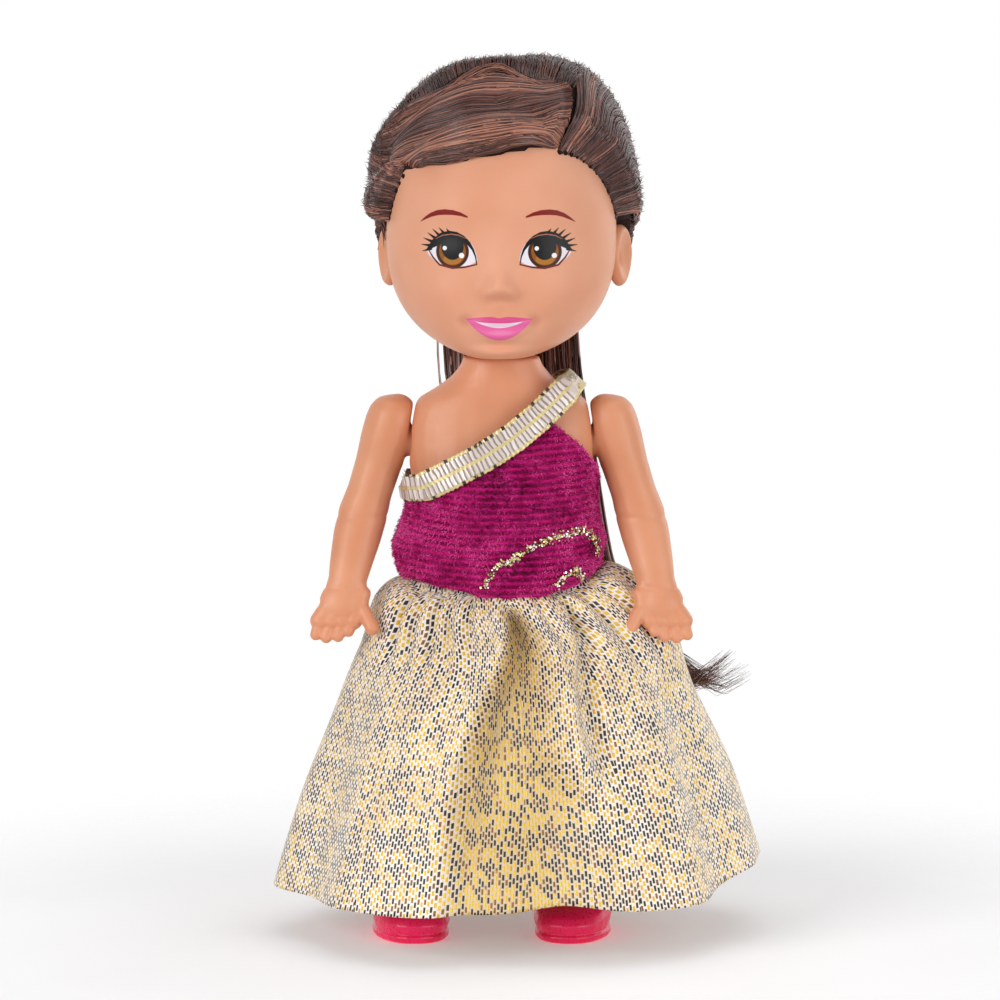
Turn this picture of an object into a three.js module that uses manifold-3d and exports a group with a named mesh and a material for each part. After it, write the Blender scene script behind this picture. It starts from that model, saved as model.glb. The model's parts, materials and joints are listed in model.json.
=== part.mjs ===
// A small rooted-hair princess doll with a velvet bodice, a long skirt and slip-on shoes.
// Millimetres, +Z up. The doll faces -Y and its own left hand is on the +X side.
import * as THREE from 'three';
import Module from 'manifold-3d';
import { mergeVertices } from 'three/addons/utils/BufferGeometryUtils.js';

// Clearances
const GAP = 0.3;
const WELD_GAP = 0.1;

// Head
const HEAD_BASE_Z = 78.6;
const HEAD_TOP_Z = 114.6;
const HEAD_WIDE_Z = 95;
const HEAD_HALF_WIDTH = 15.4;
const FACE_DEPTH = 14.7;
const NAPE_DEPTH = 17.4;
const HEAD_WALL = 1.4;
const HEAD_TURN = 2.5;

// Neck and its knob
const NECK_RADIUS = 5.2;
const NECK_TOP_Z = HEAD_BASE_Z - GAP;
const STEM_RADIUS = 3.6;
const KNOB_RADIUS = 5;
const KNOB_Z = HEAD_BASE_Z + HEAD_WALL + 3.8;

// Body
const TORSO_WALL = 1.6;
const TORSO_BASE_Z = 48.9;
const TORSO_BASE_HALF_WIDTH = 12.1;
const SHOULDER_Z = 66.9;
const SHOULDER_X = 12.4;
const SHOULDER_TILT = 9.3;
const SHOULDER_REACH = 6.3;

// Pegs that hold the arms and legs
const PEG_RADIUS = 2.1;
const PEG_HOLE_RADIUS = PEG_RADIUS + GAP;
const PEG_DISC_RADIUS = 3.1;
const PEG_DISC_LENGTH = 1.1;

// Hips and legs
const HIP_Z = 41.5;
const HIP_RADIUS = 6.8;
const CROTCH_HALF_WIDTH = 4.5;
const CROTCH_WALL = 1.3;
const FOOT_X = { left: 9.9, right: -12.5 };
const FOOT_YAW = 12;
const FOOT_LENGTH = 14.6;
const FOOT_HALF_WIDTH = 4.35;
const SHOE_WALL = 0.75;
const SOLE_THICKNESS = 1.2;

// Hair
const HAIR_BASE_Z = HEAD_BASE_Z + 1.4;
const HAIR_DEPTH = 4;
const FRINGE_DEPTH = 2.2;
const TIE_HALF_WIDTH = 6.4;
const TIE_HALF_DEPTH = 2.6;
const TIE_THICKNESS = 0.7;

// Clothes
const BODICE_THICKNESS = 0.7;
const TRIM_THICKNESS = 0.5;
const TRIM_WIDTH = 3.1;
const BODICE_BASE_Z = 47.3;
const SKIRT_TOP_Z = 48.6;
const SKIRT_HEM_Z = 7;
const SKIRT_TOP_RADIUS = TORSO_BASE_HALF_WIDTH - WELD_GAP;
const SKIRT_COLLAR = 1.6;
const SKIRT_FLARE = 20.9;
const SKIRT_THICKNESS = 0.8;
const SKIRT_DEPTH_RATIO = 0.86;

const COLOURS = {
  skin: 0xe8a57d,
  hair: 0x5f413a,
  velvet: 0xaa0a5f,
  braid: 0xe1d2c8,
  lame: 0xdcc39a,
  shoe: 0xdc0f46,
  tape: 0xf0e6dc,
};

const wasm = await Module();
wasm.setup();

const radians = THREE.MathUtils.degToRad;
const point = (x, y, z) => new THREE.Vector3(x, y, z);
const TAIL_ROOT = point(
  0.8,
  NAPE_DEPTH + HAIR_DEPTH + TIE_HALF_DEPTH + GAP / 2,
  THREE.MathUtils.lerp(HAIR_BASE_Z, HEAD_TOP_Z, 0.474),
);

// Evenly spaced numbers from the first to the last, both included
function steps(first, last, count) {
  return Array.from({ length: count }, (_, i) => first + ((last - first) * i) / (count - 1));
}

// A smooth curve through a few [position, value] keys, flat beyond the ends
function curve(keys) {
  return (at) => {
    if (at <= keys[0][0]) return keys[0][1];
    for (let i = 1; i < keys.length; i += 1) {
      const [a, from] = keys[i - 1];
      const [b, to] = keys[i];
      if (at <= b) return THREE.MathUtils.lerp(from, to, (at - a) / (b - a));
    }
    return keys[keys.length - 1][1];
  };
}

// How a dome narrows from 1 at its widest to 0 at its pole
const narrowing = (t, p, q) => (1 - Math.min(Math.abs(t), 1) ** p) ** q;

const bump = (distance, spread) => Math.exp(-0.5 * (distance / spread) ** 2);

// A closed body through rings of points, with a fan at each end
function loft(rings) {
  const count = rings[0].length;
  const points = rings.flat();
  const index = [];
  for (let r = 0; r < rings.length - 1; r += 1) {
    for (let i = 0; i < count; i += 1) {
      const a = r * count + i;
      const b = r * count + ((i + 1) % count);
      index.push(a, b, b + count, a, b + count, a + count);
    }
  }
  for (const r of [0, rings.length - 1]) {
    const middle = point(0, 0, 0);
    rings[r].forEach((p) => middle.add(p));
    points.push(middle.divideScalar(count));
    for (let i = 0; i < count; i += 1) {
      const a = r * count + i;
      const b = r * count + ((i + 1) % count);
      if (r === 0) index.push(b, a, points.length - 1);
      else index.push(a, b, points.length - 1);
    }
  }
  return geometryFrom(points.flatMap((p) => [p.x, p.y, p.z]), index);
}

function geometryFrom(positions, index) {
  const geometry = new THREE.BufferGeometry();
  geometry.setAttribute('position', new THREE.Float32BufferAttribute(positions, 3));
  geometry.setIndex(index);
  return geometry;
}

// A solid that can be joined and cut. A body that is inside out is turned.
function solid(geometry) {
  const bare = geometry.clone();
  bare.deleteAttribute('normal');
  bare.deleteAttribute('uv');
  const merged = mergeVertices(bare, 1e-4);
  const make = (index) => new wasm.Manifold(new wasm.Mesh({
    numProp: 3,
    vertProperties: new Float32Array(merged.attributes.position.array),
    triVerts: new Uint32Array(index),
  }));
  const index = Array.from(merged.index.array);
  const first = make(index);
  return first.volume() > 0 ? first : make(index.reverse());
}

function meshOf(name, body, colour, roughness) {
  const data = body.getMesh();
  const positions = [];
  for (let i = 0; i < data.vertProperties.length; i += data.numProp) {
    positions.push(...data.vertProperties.slice(i, i + 3));
  }
  const geometry = geometryFrom(positions, Array.from(data.triVerts));
  geometry.computeVertexNormals();
  const material = new THREE.MeshStandardMaterial({ color: colour, roughness, metalness: 0 });
  const mesh = new THREE.Mesh(geometry, material);
  mesh.name = name;
  return mesh;
}

// A round bar between two points
function rod(from, to, radius, sides = 16) {
  const along = to.clone().sub(from);
  const geometry = new THREE.CylinderGeometry(radius, radius, along.length(), sides);
  const turn = new THREE.Quaternion().setFromUnitVectors(point(0, 1, 0), along.clone().normalize());
  geometry.applyQuaternion(turn);
  const middle = from.clone().add(to).multiplyScalar(0.5);
  geometry.translate(middle.x, middle.y, middle.z);
  return solid(geometry);
}

function ball(centre, x, y, z, sides = 14) {
  const geometry = new THREE.SphereGeometry(1, sides, Math.round(sides * 0.6));
  geometry.scale(x, y, z);
  geometry.translate(centre.x, centre.y, centre.z);
  return solid(geometry);
}

function block(x, y, z) {
  const geometry = new THREE.BoxGeometry(x[1] - x[0], y[1] - y[0], z[1] - z[0]);
  geometry.translate((x[0] + x[1]) / 2, (y[0] + y[1]) / 2, (z[0] + z[1]) / 2);
  return solid(geometry);
}

// A flat outline seen from the front, carried through from one depth to another
function seenFromFront(outline, y) {
  const shape = new THREE.Shape(outline.map(([x, z]) => new THREE.Vector2(x, z)));
  const geometry = new THREE.ExtrudeGeometry(shape, { depth: y[1] - y[0], bevelEnabled: false });
  geometry.rotateX(Math.PI / 2);
  geometry.translate(0, y[1], 0);
  return solid(geometry);
}

// A flat outline seen from the side, carried through from one x to another
function seenFromSide(outline, x) {
  const shape = new THREE.Shape(outline.map(([y, z]) => new THREE.Vector2(y, z)));
  const geometry = new THREE.ExtrudeGeometry(shape, { depth: x[1] - x[0], bevelEnabled: false });
  geometry.rotateX(Math.PI / 2);
  geometry.rotateZ(Math.PI / 2);
  geometry.translate(x[0], 0, 0);
  return solid(geometry);
}

const mirrored = (body) => body.mirror([1, 0, 0]);

// One level ring with its own width and its own depth to the front and to the back
function ring(z, halfWidth, front, back, count, power = 1, crowd = 0) {
  return Array.from({ length: count }, (_, i) => {
    const turn = (i / count) * Math.PI * 2;
    const angle = turn - crowd * Math.sin(turn);
    const side = Math.sin(angle);
    const ahead = Math.cos(angle);
    const depth = ahead > 0 ? front : back;
    const x = halfWidth * Math.sign(side) * Math.abs(side) ** power;
    const y = -depth * Math.sign(ahead) * Math.abs(ahead) ** power;
    return point(x, y, z);
  });
}

// Head surface: a dome above its widest level and a bowl below it
function domed(z, wide, bowl, dome, open) {
  if (z < wide) return narrowing((wide - z) / (wide - HEAD_BASE_Z + open), ...bowl);
  return narrowing((z - wide) / (HEAD_TOP_Z - wide), ...dome);
}

const BROW_Z = HEAD_WIDE_Z + 4;
const NAPE_WIDE_Z = HEAD_WIDE_Z + 3;

const headWidth = (z) => HEAD_HALF_WIDTH * domed(z, HEAD_WIDE_Z, [2.6, 0.526], [2.2, 0.5], 0.6);
const headFront = (z) => FACE_DEPTH * domed(z, BROW_Z, [1.5, 0.087], [3, 0.5], 0.25);
const headBack = (z) => NAPE_DEPTH * domed(z, NAPE_WIDE_Z, [2, 0.5], [2.1, 0.5], 0.5);

// Heights on the head are given as shares of its own height
const headLevel = (share) => THREE.MathUtils.lerp(HEAD_BASE_Z, HEAD_TOP_Z, share);
const hairLevel = (share) => THREE.MathUtils.lerp(HAIR_BASE_Z, HEAD_TOP_Z, share);
const onHead = (outline) => outline.map(([x, share]) => [x * HEAD_HALF_WIDTH, hairLevel(share)]);

// The face is shaped by soft bumps on the front

function faceRelief(x, z) {
  const nose = 2.5 * bump(x, 1.5) * bump(z - 88.2, 1.3);
  const bridge = 0.7 * bump(x, 1.6) * bump(z - 91.6, 2.2);
  const lips = 0.8 * bump(x, 3.2) * (bump(z - 84.4, 0.7) + bump(z - 82.4, 0.8));
  const chin = 0.7 * bump(x, 3) * bump(z - 79.8, 1);
  const cheeks = 0.6 * bump(Math.abs(x) - 8.5, 3) * bump(z - 87, 2.6);
  const sockets = -0.5 * bump(Math.abs(x) - 6.1, 2.6) * bump(z - 93.5, 2.4);
  return nose + bridge + lips + chin + cheeks + sockets;
}

// The skull grown outward by an offset, with or without the relief of the face
function skull(offset, levels, count, face = false) {
  const stretch = (HEAD_TOP_Z + offset - HEAD_BASE_Z) / (HEAD_TOP_Z - HEAD_BASE_Z);
  const rings = levels.map((z) => {
    const front = headFront(z) + offset;
    const level = HEAD_BASE_Z + (z - HEAD_BASE_Z) * stretch;
    const crowd = face ? 0.5 : 0;
    const points = ring(level, headWidth(z) + offset, front, headBack(z) + offset, count, 0.94, crowd);
    if (!face) return points;
    return points.map((p) => {
      const ahead = THREE.MathUtils.smoothstep(-p.y, 2, 9);
      return point(p.x, p.y - faceRelief(p.x, z) * ahead, p.z);
    });
  });
  return solid(loft(rings));
}

const SCALP_SHARES = [0.017, 0.116, 0.173, 0.231, 0.303, 0.405, 0.52, 0.636, 0.737, 0.824, 0.896, 0.948, 0.98, 0.997];
const SCALP_LEVELS = SCALP_SHARES.map(hairLevel);
const turnHead = (body) => body.rotate([0, 0, -HEAD_TURN]);

function headShell() {
  const shares = [...steps(0, 0.3, 14), ...steps(0.35, 0.78, 7), 0.855, 0.919, 0.965, 0.994];
  let head = skull(0, shares.map(headLevel), 40, true);
  for (const side of [-1, 1]) {
    const ear = ball(point(side * HEAD_HALF_WIDTH, 2.2, hairLevel(0.341)), 1.7, 2.6, 4, 12);
    const hollow = ball(point(side * (HEAD_HALF_WIDTH + 1.9), 1.2, hairLevel(0.347)), 0.9, 1.5, 2.5, 8);
    head = head.add(ear).subtract(hollow);
  }
  const insideShares = [0.087, 0.173, 0.289, 0.434, 0.578, 0.723, 0.838, 0.925, 0.977];
  const inside = skull(-HEAD_WALL, insideShares.map(headLevel), 16);
  const hole = rod(point(0, 0, HEAD_BASE_Z - 1), point(0, 0, KNOB_Z), STEM_RADIUS + GAP + 0.1, 20);
  return head.subtract(inside).subtract(hole);
}

// Hair masses, cut from one shell that lies on the skull
function hairShell(depth) {
  return skull(depth, SCALP_LEVELS, 32).subtract(skull(GAP + 0.1, SCALP_LEVELS, 32));
}

// Their outlines are shares of the head's half width and of its height.
const FRINGE_OUTLINE = onHead([
  [-0.929, 0.642], [-0.519, 0.682], [0, 0.723], [0.481, 0.757], [0.552, 0.867], [0.416, 0.983],
  [0, 1.046], [-0.519, 0.98], [-0.844, 0.867], [-1.071, 0.751],
]);

const SIDE_LEFT_OUTLINE = onHead([
  [0.519, 0.757], [0.727, 0.72], [0.896, 0.636], [1, 0.532], [1.019, 0.486], [1.56, 0.486],
  [1.56, 0.925], [0.597, 0.925], [0.584, 0.867],
]);

const LOCK_OUTLINE = onHead([
  [-0.961, 0.627], [-0.981, 0.549], [-0.987, 0.488], [-1.56, 0.488], [-1.56, 0.809], [-1.117, 0.751],
  [-0.987, 0.653],
]);

const fringe = () => hairShell(FRINGE_DEPTH).intersect(seenFromFront(FRINGE_OUTLINE, [-22, -2.5]));
const sideLeft = () => hairShell(HAIR_DEPTH).intersect(seenFromFront(SIDE_LEFT_OUTLINE, [-22, 1]));
const lockRight = () => hairShell(HAIR_DEPTH + 0.6).intersect(seenFromFront(LOCK_OUTLINE, [-22, 1]));

// Crown and back of the hair: everything behind the front pieces, down to the nape
function crown() {
  const seam = 1 + GAP;
  const back = [[seam, 0.474], [4.6, 0.474], [5.6, 0.289], [7.5, 0.127], [30, 0.127], [30, 1.3], [seam, 1.3]]
    .map(([y, share]) => [y, hairLevel(share)]);
  const top = [[-22, 1.3], [-22, 0.694], [seam + 0.1, 0.694], [seam + 0.1, 1.3]]
    .map(([y, share]) => [y, hairLevel(share)]);
  const behind = hairShell(HAIR_DEPTH).intersect(seenFromSide(back, [-24, 24]));
  const frontCut = onHead([
    [-1.6, 0.289], [1.6, 0.289], [1.6, 0.934], [0.623, 0.934], [0.539, 0.936], [0.429, 0.991],
    [0, 1.055], [-0.519, 0.988], [-0.844, 0.879], [-1.084, 0.769], [-1.6, 0.821],
  ]);
  const above = hairShell(HAIR_DEPTH)
    .intersect(seenFromSide(top, [-24, 24]))
    .subtract(seenFromFront(frontCut, [-23, seam]));
  return behind.add(above);
}

// Band that gathers the hair at the back of the head
function hairTie() {
  const oval = (wide, deep, half) => {
    const rings = [-half, half].map((z) => ring(z, wide, deep, deep, 24));
    return solid(loft(rings)).translate([TAIL_ROOT.x, TAIL_ROOT.y, TAIL_ROOT.z]);
  };
  return oval(TIE_HALF_WIDTH, TIE_HALF_DEPTH, 1).subtract(
    oval(TIE_HALF_WIDTH - TIE_THICKNESS, TIE_HALF_DEPTH - TIE_THICKNESS, 2),
  );
}

// Long tail: out of the band, down the back and round to the left of the skirt
function hairFall() {
  const fromRoot = (x, y, z) => TAIL_ROOT.clone().add(point(x, y, z));
  const path = new THREE.CatmullRomCurve3([
    fromRoot(0, 0, 2.4), TAIL_ROOT, fromRoot(0, -0.95, -3.8), fromRoot(0, -2.75, -7.8), fromRoot(-0.2, -5.75, -12.4),
    point(0.8, 15, 79.6), point(1.2, 12.2, 73.6), point(3, 11.1, 66), point(5.4, 11.4, 60), point(8, 13.6, 53.6),
    point(10.6, 17.4, 47), point(13.6, 20.4, 41), point(18, 21.6, 36), point(23.4, 20.4, 32.6),
    point(28.6, 17.6, 32), point(33.4, 15.2, 35.6),
  ]);
  const width = curve([
    [0, 4.2], [0.03, 5], [0.12, 6.4], [0.25, 7.6], [0.33, 9.2], [0.42, 9.2], [0.5, 8.4], [0.56, 7.3],
    [0.64, 5.6], [0.75, 4.5], [0.88, 3.1], [1, 0.8],
  ]);
  const depth = curve([[0, 0.9], [0.03, 1.5], [0.3, 1.7], [0.8, 1.6], [1, 0.5]]);
  const rings = steps(0, 1, 22).map((t) => {
    const at = path.getPointAt(t);
    const along = path.getTangentAt(t);
    const across = point(1, 0, 0).addScaledVector(along, -along.x).normalize();
    const out = along.clone().cross(across);
    return Array.from({ length: 12 }, (_, i) => {
      const angle = (i / 12) * Math.PI * 2;
      return at.clone()
        .addScaledVector(across, Math.cos(angle) * width(t))
        .addScaledVector(out, Math.sin(angle) * depth(t));
    });
  });
  return solid(loft(rings));
}

// Body surface, grown outward by an offset for the clothes
const torsoWidth = curve([
  [TORSO_BASE_Z, TORSO_BASE_HALF_WIDTH], [52.6, 13], [56, 12.4], [59, 11.8], [62, 12.2], [66, 12.9], [69, 12.9], [71.4, 12.2],
  [72.8, 11.1], [74.2, 8.7], [75.6, 6.8], [77.2, 5.5], [78.2, NECK_RADIUS],
]);
const torsoFront = curve([
  [TORSO_BASE_Z, 7.9], [56, 8.1], [62, 7.9], [68, 6.8], [72, 5.9], [75, 5.4], [78.2, NECK_RADIUS],
]);
const torsoBack = curve([
  [TORSO_BASE_Z, 7.6], [56, 7], [66, 6.9], [71, 6.2], [75, 5.4], [78.2, NECK_RADIUS],
]);

function torsoForm(offset, from, to, count = 28) {
  const middle = [52.6, 56, 59, 62, 66, 69, 70.3, 71.4, 72.8, 74.2, 75.6, 77.2];
  const levels = [from, ...middle.filter((z) => z > from + 0.4 && z < to - 0.4), to];
  const rings = levels.map((z) => {
    const lift = z > 70 && z < 78 ? offset * 0.75 : 0;
    return ring(z + lift, torsoWidth(z) + offset, torsoFront(z) + offset, torsoBack(z) + offset, count, 0.88);
  });
  return solid(loft(rings));
}

// Direction out of the left shoulder, square to the flat face between arm and body
const shoulderOut = point(Math.cos(radians(SHOULDER_TILT)), 0, Math.sin(radians(SHOULDER_TILT)));
const shoulderAt = (distance) => point(SHOULDER_X, 0, SHOULDER_Z).addScaledVector(shoulderOut, distance);

const inwardOfShoulder = (body, distance) => {
  const limit = shoulderAt(distance).dot(shoulderOut);
  const { x, z } = shoulderOut;
  return body.trimByPlane([-x, 0, -z], -limit).trimByPlane([x, 0, -z], -limit);
};

function shoulderPeg() {
  const stem = rod(shoulderAt(3), shoulderAt(-TORSO_WALL - 1.2), PEG_RADIUS);
  const inner = -TORSO_WALL - 0.6;
  const disc = rod(shoulderAt(inner), shoulderAt(inner - PEG_DISC_LENGTH), PEG_DISC_RADIUS);
  return stem.add(disc);
}

// Locating pins keep the two body shells in line
const PIN_LEVELS = [54, 73.5];

function torso() {
  const centre = rod(point(-CROTCH_HALF_WIDTH, 0, HIP_Z), point(CROTCH_HALF_WIDTH, 0, HIP_Z), HIP_RADIUS, 28);
  const bridgeDepth = HIP_RADIUS - 1.3;
  const bridge = block(
    [-CROTCH_HALF_WIDTH, CROTCH_HALF_WIDTH],
    [-bridgeDepth, bridgeDepth],
    [HIP_Z, TORSO_BASE_Z + 1],
  );
  let body = inwardOfShoulder(torsoForm(0, TORSO_BASE_Z, NECK_TOP_Z), 0).add(centre).add(bridge);
  const stem = rod(point(0, 0, NECK_TOP_Z - 1), point(0, 0, KNOB_Z), STEM_RADIUS, 20);
  const knob = ball(point(0, 0, KNOB_Z), KNOB_RADIUS, KNOB_RADIUS, 2.6, 20);
  body = body.add(stem).add(knob);
  const room = torsoForm(-TORSO_WALL, TORSO_BASE_Z + TORSO_WALL, 75.2, 20);
  const inner = CROTCH_HALF_WIDTH - CROTCH_WALL;
  const hipRoom = rod(point(-inner, 0, HIP_Z), point(inner, 0, HIP_Z), HIP_RADIUS - CROTCH_WALL, 20);
  const shaftDepth = bridgeDepth - CROTCH_WALL;
  const shaft = block([-inner, inner], [-shaftDepth, shaftDepth], [HIP_Z, TORSO_BASE_Z + TORSO_WALL + 1]);
  body = body.subtract(inwardOfShoulder(room, -TORSO_WALL)).subtract(hipRoom).subtract(shaft);
  const seat = rod(shoulderAt(-TORSO_WALL - GAP), shoulderAt(-TORSO_WALL - 3), PEG_DISC_RADIUS + GAP);
  body = body.subtract(seat).subtract(mirrored(seat));
  const hole = rod(shoulderAt(-TORSO_WALL - 1), shoulderAt(1), PEG_HOLE_RADIUS);
  const hips = rod(point(-6, 0, HIP_Z), point(6, 0, HIP_Z), PEG_HOLE_RADIUS);
  return body.subtract(hole).subtract(mirrored(hole)).subtract(hips);
}

function torsoHalves() {
  const whole = torso();
  let front = whole.trimByPlane([0, -1, 0], WELD_GAP / 2);
  let back = whole.trimByPlane([0, 1, 0], WELD_GAP / 2);
  for (const z of PIN_LEVELS) {
    const pin = rod(point(0, TORSO_WALL / 2 - torsoFront(z), z), point(0, 2.2, z), 0.9, 12);
    const socket = rod(point(0, WELD_GAP / 2, z), point(0, 6, z), 1.9, 12)
      .subtract(rod(point(0, -1, z), point(0, 2.6, z), 0.9 + GAP / 2, 12));
    const pocket = rod(point(0, -1, z), point(0, 2.6, z), 0.9 + GAP / 2, 12);
    front = front.add(pin);
    back = back.subtract(pocket).add(socket);
  }
  return [front, back];
}

// Arm, drawn for the left side and mirrored for the right
function arm() {
  const at = curve([
    [0, 13.4], [0.08, 14.2], [0.22, 15.1], [0.36, 16.6], [0.52, 18.5], [0.68, 19.8], [0.84, 20.9], [1, 22.4],
  ]);
  const height = curve([
    [0, 73.2], [0.08, 72.2], [0.22, 68.6], [0.36, 63.8], [0.52, 57.8], [0.68, 52.8], [0.84, 47.6], [1, 42.4],
  ]);
  const forward = curve([[0, 0], [0.4, 0], [0.6, -1.2], [0.84, -4.2], [1, -5.8]]);
  const half = curve([
    [0, 0.5], [0.05, 2.3], [0.12, 3.3], [0.22, 3.7], [0.36, 3.2], [0.46, 3.1], [0.54, 3.4], [0.66, 3.3],
    [0.83, 2.6], [0.93, 3.3], [1, 3.4],
  ]);
  const deep = curve([
    [0, 0.6], [0.05, 2.5], [0.12, 3.5], [0.22, 3.9], [0.36, 3.3], [0.54, 3.1], [0.7, 2.8], [0.83, 2.1],
    [0.93, 1.7], [1, 1.2],
  ]);
  const stations = [0, 0.03, 0.07, 0.12, 0.18, 0.26, 0.36, 0.46, 0.54, 0.64, 0.74, 0.83, 0.88, 0.94, 1];
  const rings = stations.map((t) => {
    const slope = point(at(t + 0.04) - at(t - 0.04), 0, height(t + 0.04) - height(t - 0.04)).normalize();
    const across = t < 0.15 ? point(1, 0, 0.2).normalize() : point(-slope.z, 0, slope.x);
    return Array.from({ length: 14 }, (_, i) => {
      const angle = (i / 14) * Math.PI * 2;
      return point(at(t), forward(t) - deep(t) * Math.cos(angle), height(t))
        .addScaledVector(across, half(t) * Math.sin(angle));
    });
  });
  let body = solid(loft(rings));
  const tips = [[21.6, 40.9], [22.9, 40.3], [24.3, 40.3], [25.4, 41.2]];
  tips.forEach(([x, z], i) => {
    const knuckle = point(20.3 + i * 1.25, -5, 44.4 + (i % 3 ? 0.2 : 0));
    body = body.add(finger(knuckle, point(x, -6, z), 0.85));
  });
  body = body.add(finger(point(18.8, -5.6, 45.6), point(17.8, -7.6, 42), 0.95));
  const limit = shoulderAt(GAP).dot(shoulderOut);
  const { x, z } = shoulderOut;
  body = body.trimByPlane([x, 0, z], limit);
  return body.add(shoulderPeg());
}

function finger(from, to, radius) {
  const along = to.clone().sub(from);
  const geometry = new THREE.CapsuleGeometry(radius, along.length(), 3, 8);
  const turn = new THREE.Quaternion().setFromUnitVectors(point(0, 1, 0), along.clone().normalize());
  geometry.applyQuaternion(turn);
  const middle = from.clone().add(to).multiplyScalar(0.5);
  geometry.translate(middle.x, middle.y, middle.z);
  return solid(geometry);
}

// Foot outline: heel at the back, wide round toes at the front, seen from above
function footRing(z, grow, low, count = 24) {
  return Array.from({ length: count }, (_, i) => {
    const angle = (i / count) * Math.PI * 2;
    const y = -(FOOT_LENGTH / 2 + grow) * Math.cos(angle);
    const wide = FOOT_HALF_WIDTH * (1 - 0.16 * THREE.MathUtils.smoothstep(y, -3, 6)) + grow;
    const x = wide * Math.sign(Math.sin(angle)) * Math.abs(Math.sin(angle)) ** 0.8;
    return point(x, y, z(y, low));
  });
}

// Top of the foot rises from the toes to the ankle
const footTop = (y) => 3.4 + 4.2 * THREE.MathUtils.smoothstep(y, -6.5, 3.5);

function footForm(grow, base) {
  const top = (share) => (y) => THREE.MathUtils.lerp(base, footTop(y) + grow, share);
  const shares = [[0, -1.1], [0.12, -0.35], [0.4, 0], [0.7, -0.45], [0.9, -1.4], [1, -2.6]];
  return solid(loft(shares.map(([share, inset]) => footRing(top(share), grow + inset, base))));
}

function placeFoot(body, side) {
  const sign = side === 'left' ? 1 : -1;
  return body.rotate([0, 0, -sign * FOOT_YAW]).translate([FOOT_X[side], -2.6, 0]);
}

const FOOT_BASE = SOLE_THICKNESS + GAP;

function leg(side) {
  const sign = side === 'left' ? 1 : -1;
  const inner = CROTCH_HALF_WIDTH + GAP;
  const disc = rod(point(sign * inner, 0, HIP_Z), point(sign * 8, 0, HIP_Z), HIP_RADIUS, 24);
  const foot = placeFoot(footForm(0, FOOT_BASE), side);
  const levels = [
    [47.2, 7.4, 2.6, 3.2], [45, 7.8, 3.2, 5.4], [HIP_Z, 8.2, 3.8, 6.5], [36, 8.6, 4.4, 6.2], [30, 9, 4.6, 5.4],
    [22, 9.4, 4, 4.4], [15, 9.7, 3.8, 4.2], [9, 10, 3.1, 3.3], [5, 10.1, 2.6, 2.8],
  ];
  const drift = FOOT_X[side] * sign - 10;
  const rings = levels.map(([z, x, wide, deep]) => {
    const centre = x + (drift * (HIP_Z - z)) / HIP_Z;
    return ring(z, wide, deep, deep, 16).map((p) => p.add(point(sign * centre, 0, 0)));
  });
  let body = solid(loft(rings)).trimByPlane([sign, 0, 0], inner).add(disc).add(foot);
  const wall = inner - CROTCH_HALF_WIDTH + CROTCH_WALL;
  const stem = rod(point(sign * 7, 0, HIP_Z), point(sign * (inner - wall - 1), 0, HIP_Z), PEG_RADIUS);
  const outer = CROTCH_HALF_WIDTH - CROTCH_WALL - GAP;
  const holder = rod(point(sign * outer, 0, HIP_Z), point(sign * (outer - PEG_DISC_LENGTH), 0, HIP_Z), PEG_DISC_RADIUS);
  return body.add(stem).add(holder);
}

// Slip-on shoe: a hollow upper with a wide throat, on a flat sole with a welt
function shoe(side) {
  const upper = footForm(GAP + SHOE_WALL, SOLE_THICKNESS - 0.2);
  const room = footForm(GAP, SOLE_THICKNESS);
  const sole = solid(loft([[0, -0.5], [0.3, -0.1], [SOLE_THICKNESS - 0.2, 0], [SOLE_THICKNESS, -0.3]]
    .map(([z, inset]) => footRing(() => z, GAP + SHOE_WALL + 0.25 + inset - 0.4, 0))));
  const throat = seenFromSide([[-3.6, 14], [-3.4, 5.6], [-2.4, 4.6], [7, 5.6], [12, 6.6], [12, 14]], [-9, 9]);
  const opening = rod(point(0, 1.2, 3.6), point(0, 1.2, 14), 3.2, 20);
  const body = upper.add(sole).subtract(room).subtract(throat).subtract(opening);
  return placeFoot(body, side);
}

// Bodice: one shoulder bare, the other under the strap
const NECKLINE = [
  [-14.8, 60.6], [-10.5, 61.2], [-6.5, 63.3], [-2.3, 65.5], [1.7, 68.1], [5, 70.8], [8.8, 74.4],
];
const strapBand = (half) => {
  const upper = NECKLINE.map(([x, z]) => [x - half * 0.55, z + half * 0.8]);
  const lower = NECKLINE.map(([x, z]) => [x + half * 0.62, z - half * 0.76]).reverse();
  return [...upper, [12, 77], ...lower];
};

function clothShell(inner, outer) {
  const from = BODICE_BASE_Z;
  return torsoForm(outer, from, 78.2).subtract(torsoForm(inner, from - 1, 79));
}

function keepClearOfArms(body) {
  const sweep = rod(shoulderAt(-0.2), shoulderAt(16), SHOULDER_REACH, 28);
  return body.subtract(sweep).subtract(mirrored(sweep));
}

function bodice() {
  const armhole = [[6, 70.5], [10.6, 66.8], [13, 63.4], [20, 61]];
  const outline = [[-20, 40], [-20, 60.6], ...NECKLINE.slice(0, 6), ...armhole, [20, 40]];
  const body = seenFromFront(outline, [-20, 20]);
  const strap = seenFromFront(strapBand(TRIM_WIDTH / 2 - 0.25), [-20, 20]);
  const shell = clothShell(GAP, GAP + BODICE_THICKNESS);
  const slit = block([-0.6, 0.6], [0, 20], [40, 90]);
  return keepClearOfArms(shell.intersect(body.add(strap))).subtract(slit);
}

function strapTrim() {
  const inner = GAP + BODICE_THICKNESS + GAP;
  const shell = clothShell(inner, inner + TRIM_THICKNESS);
  const slit = block([-0.6, 0.6], [0, 20], [40, 90]);
  return keepClearOfArms(shell.intersect(seenFromFront(strapBand(TRIM_WIDTH / 2), [-20, 20]))).subtract(slit);
}

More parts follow.
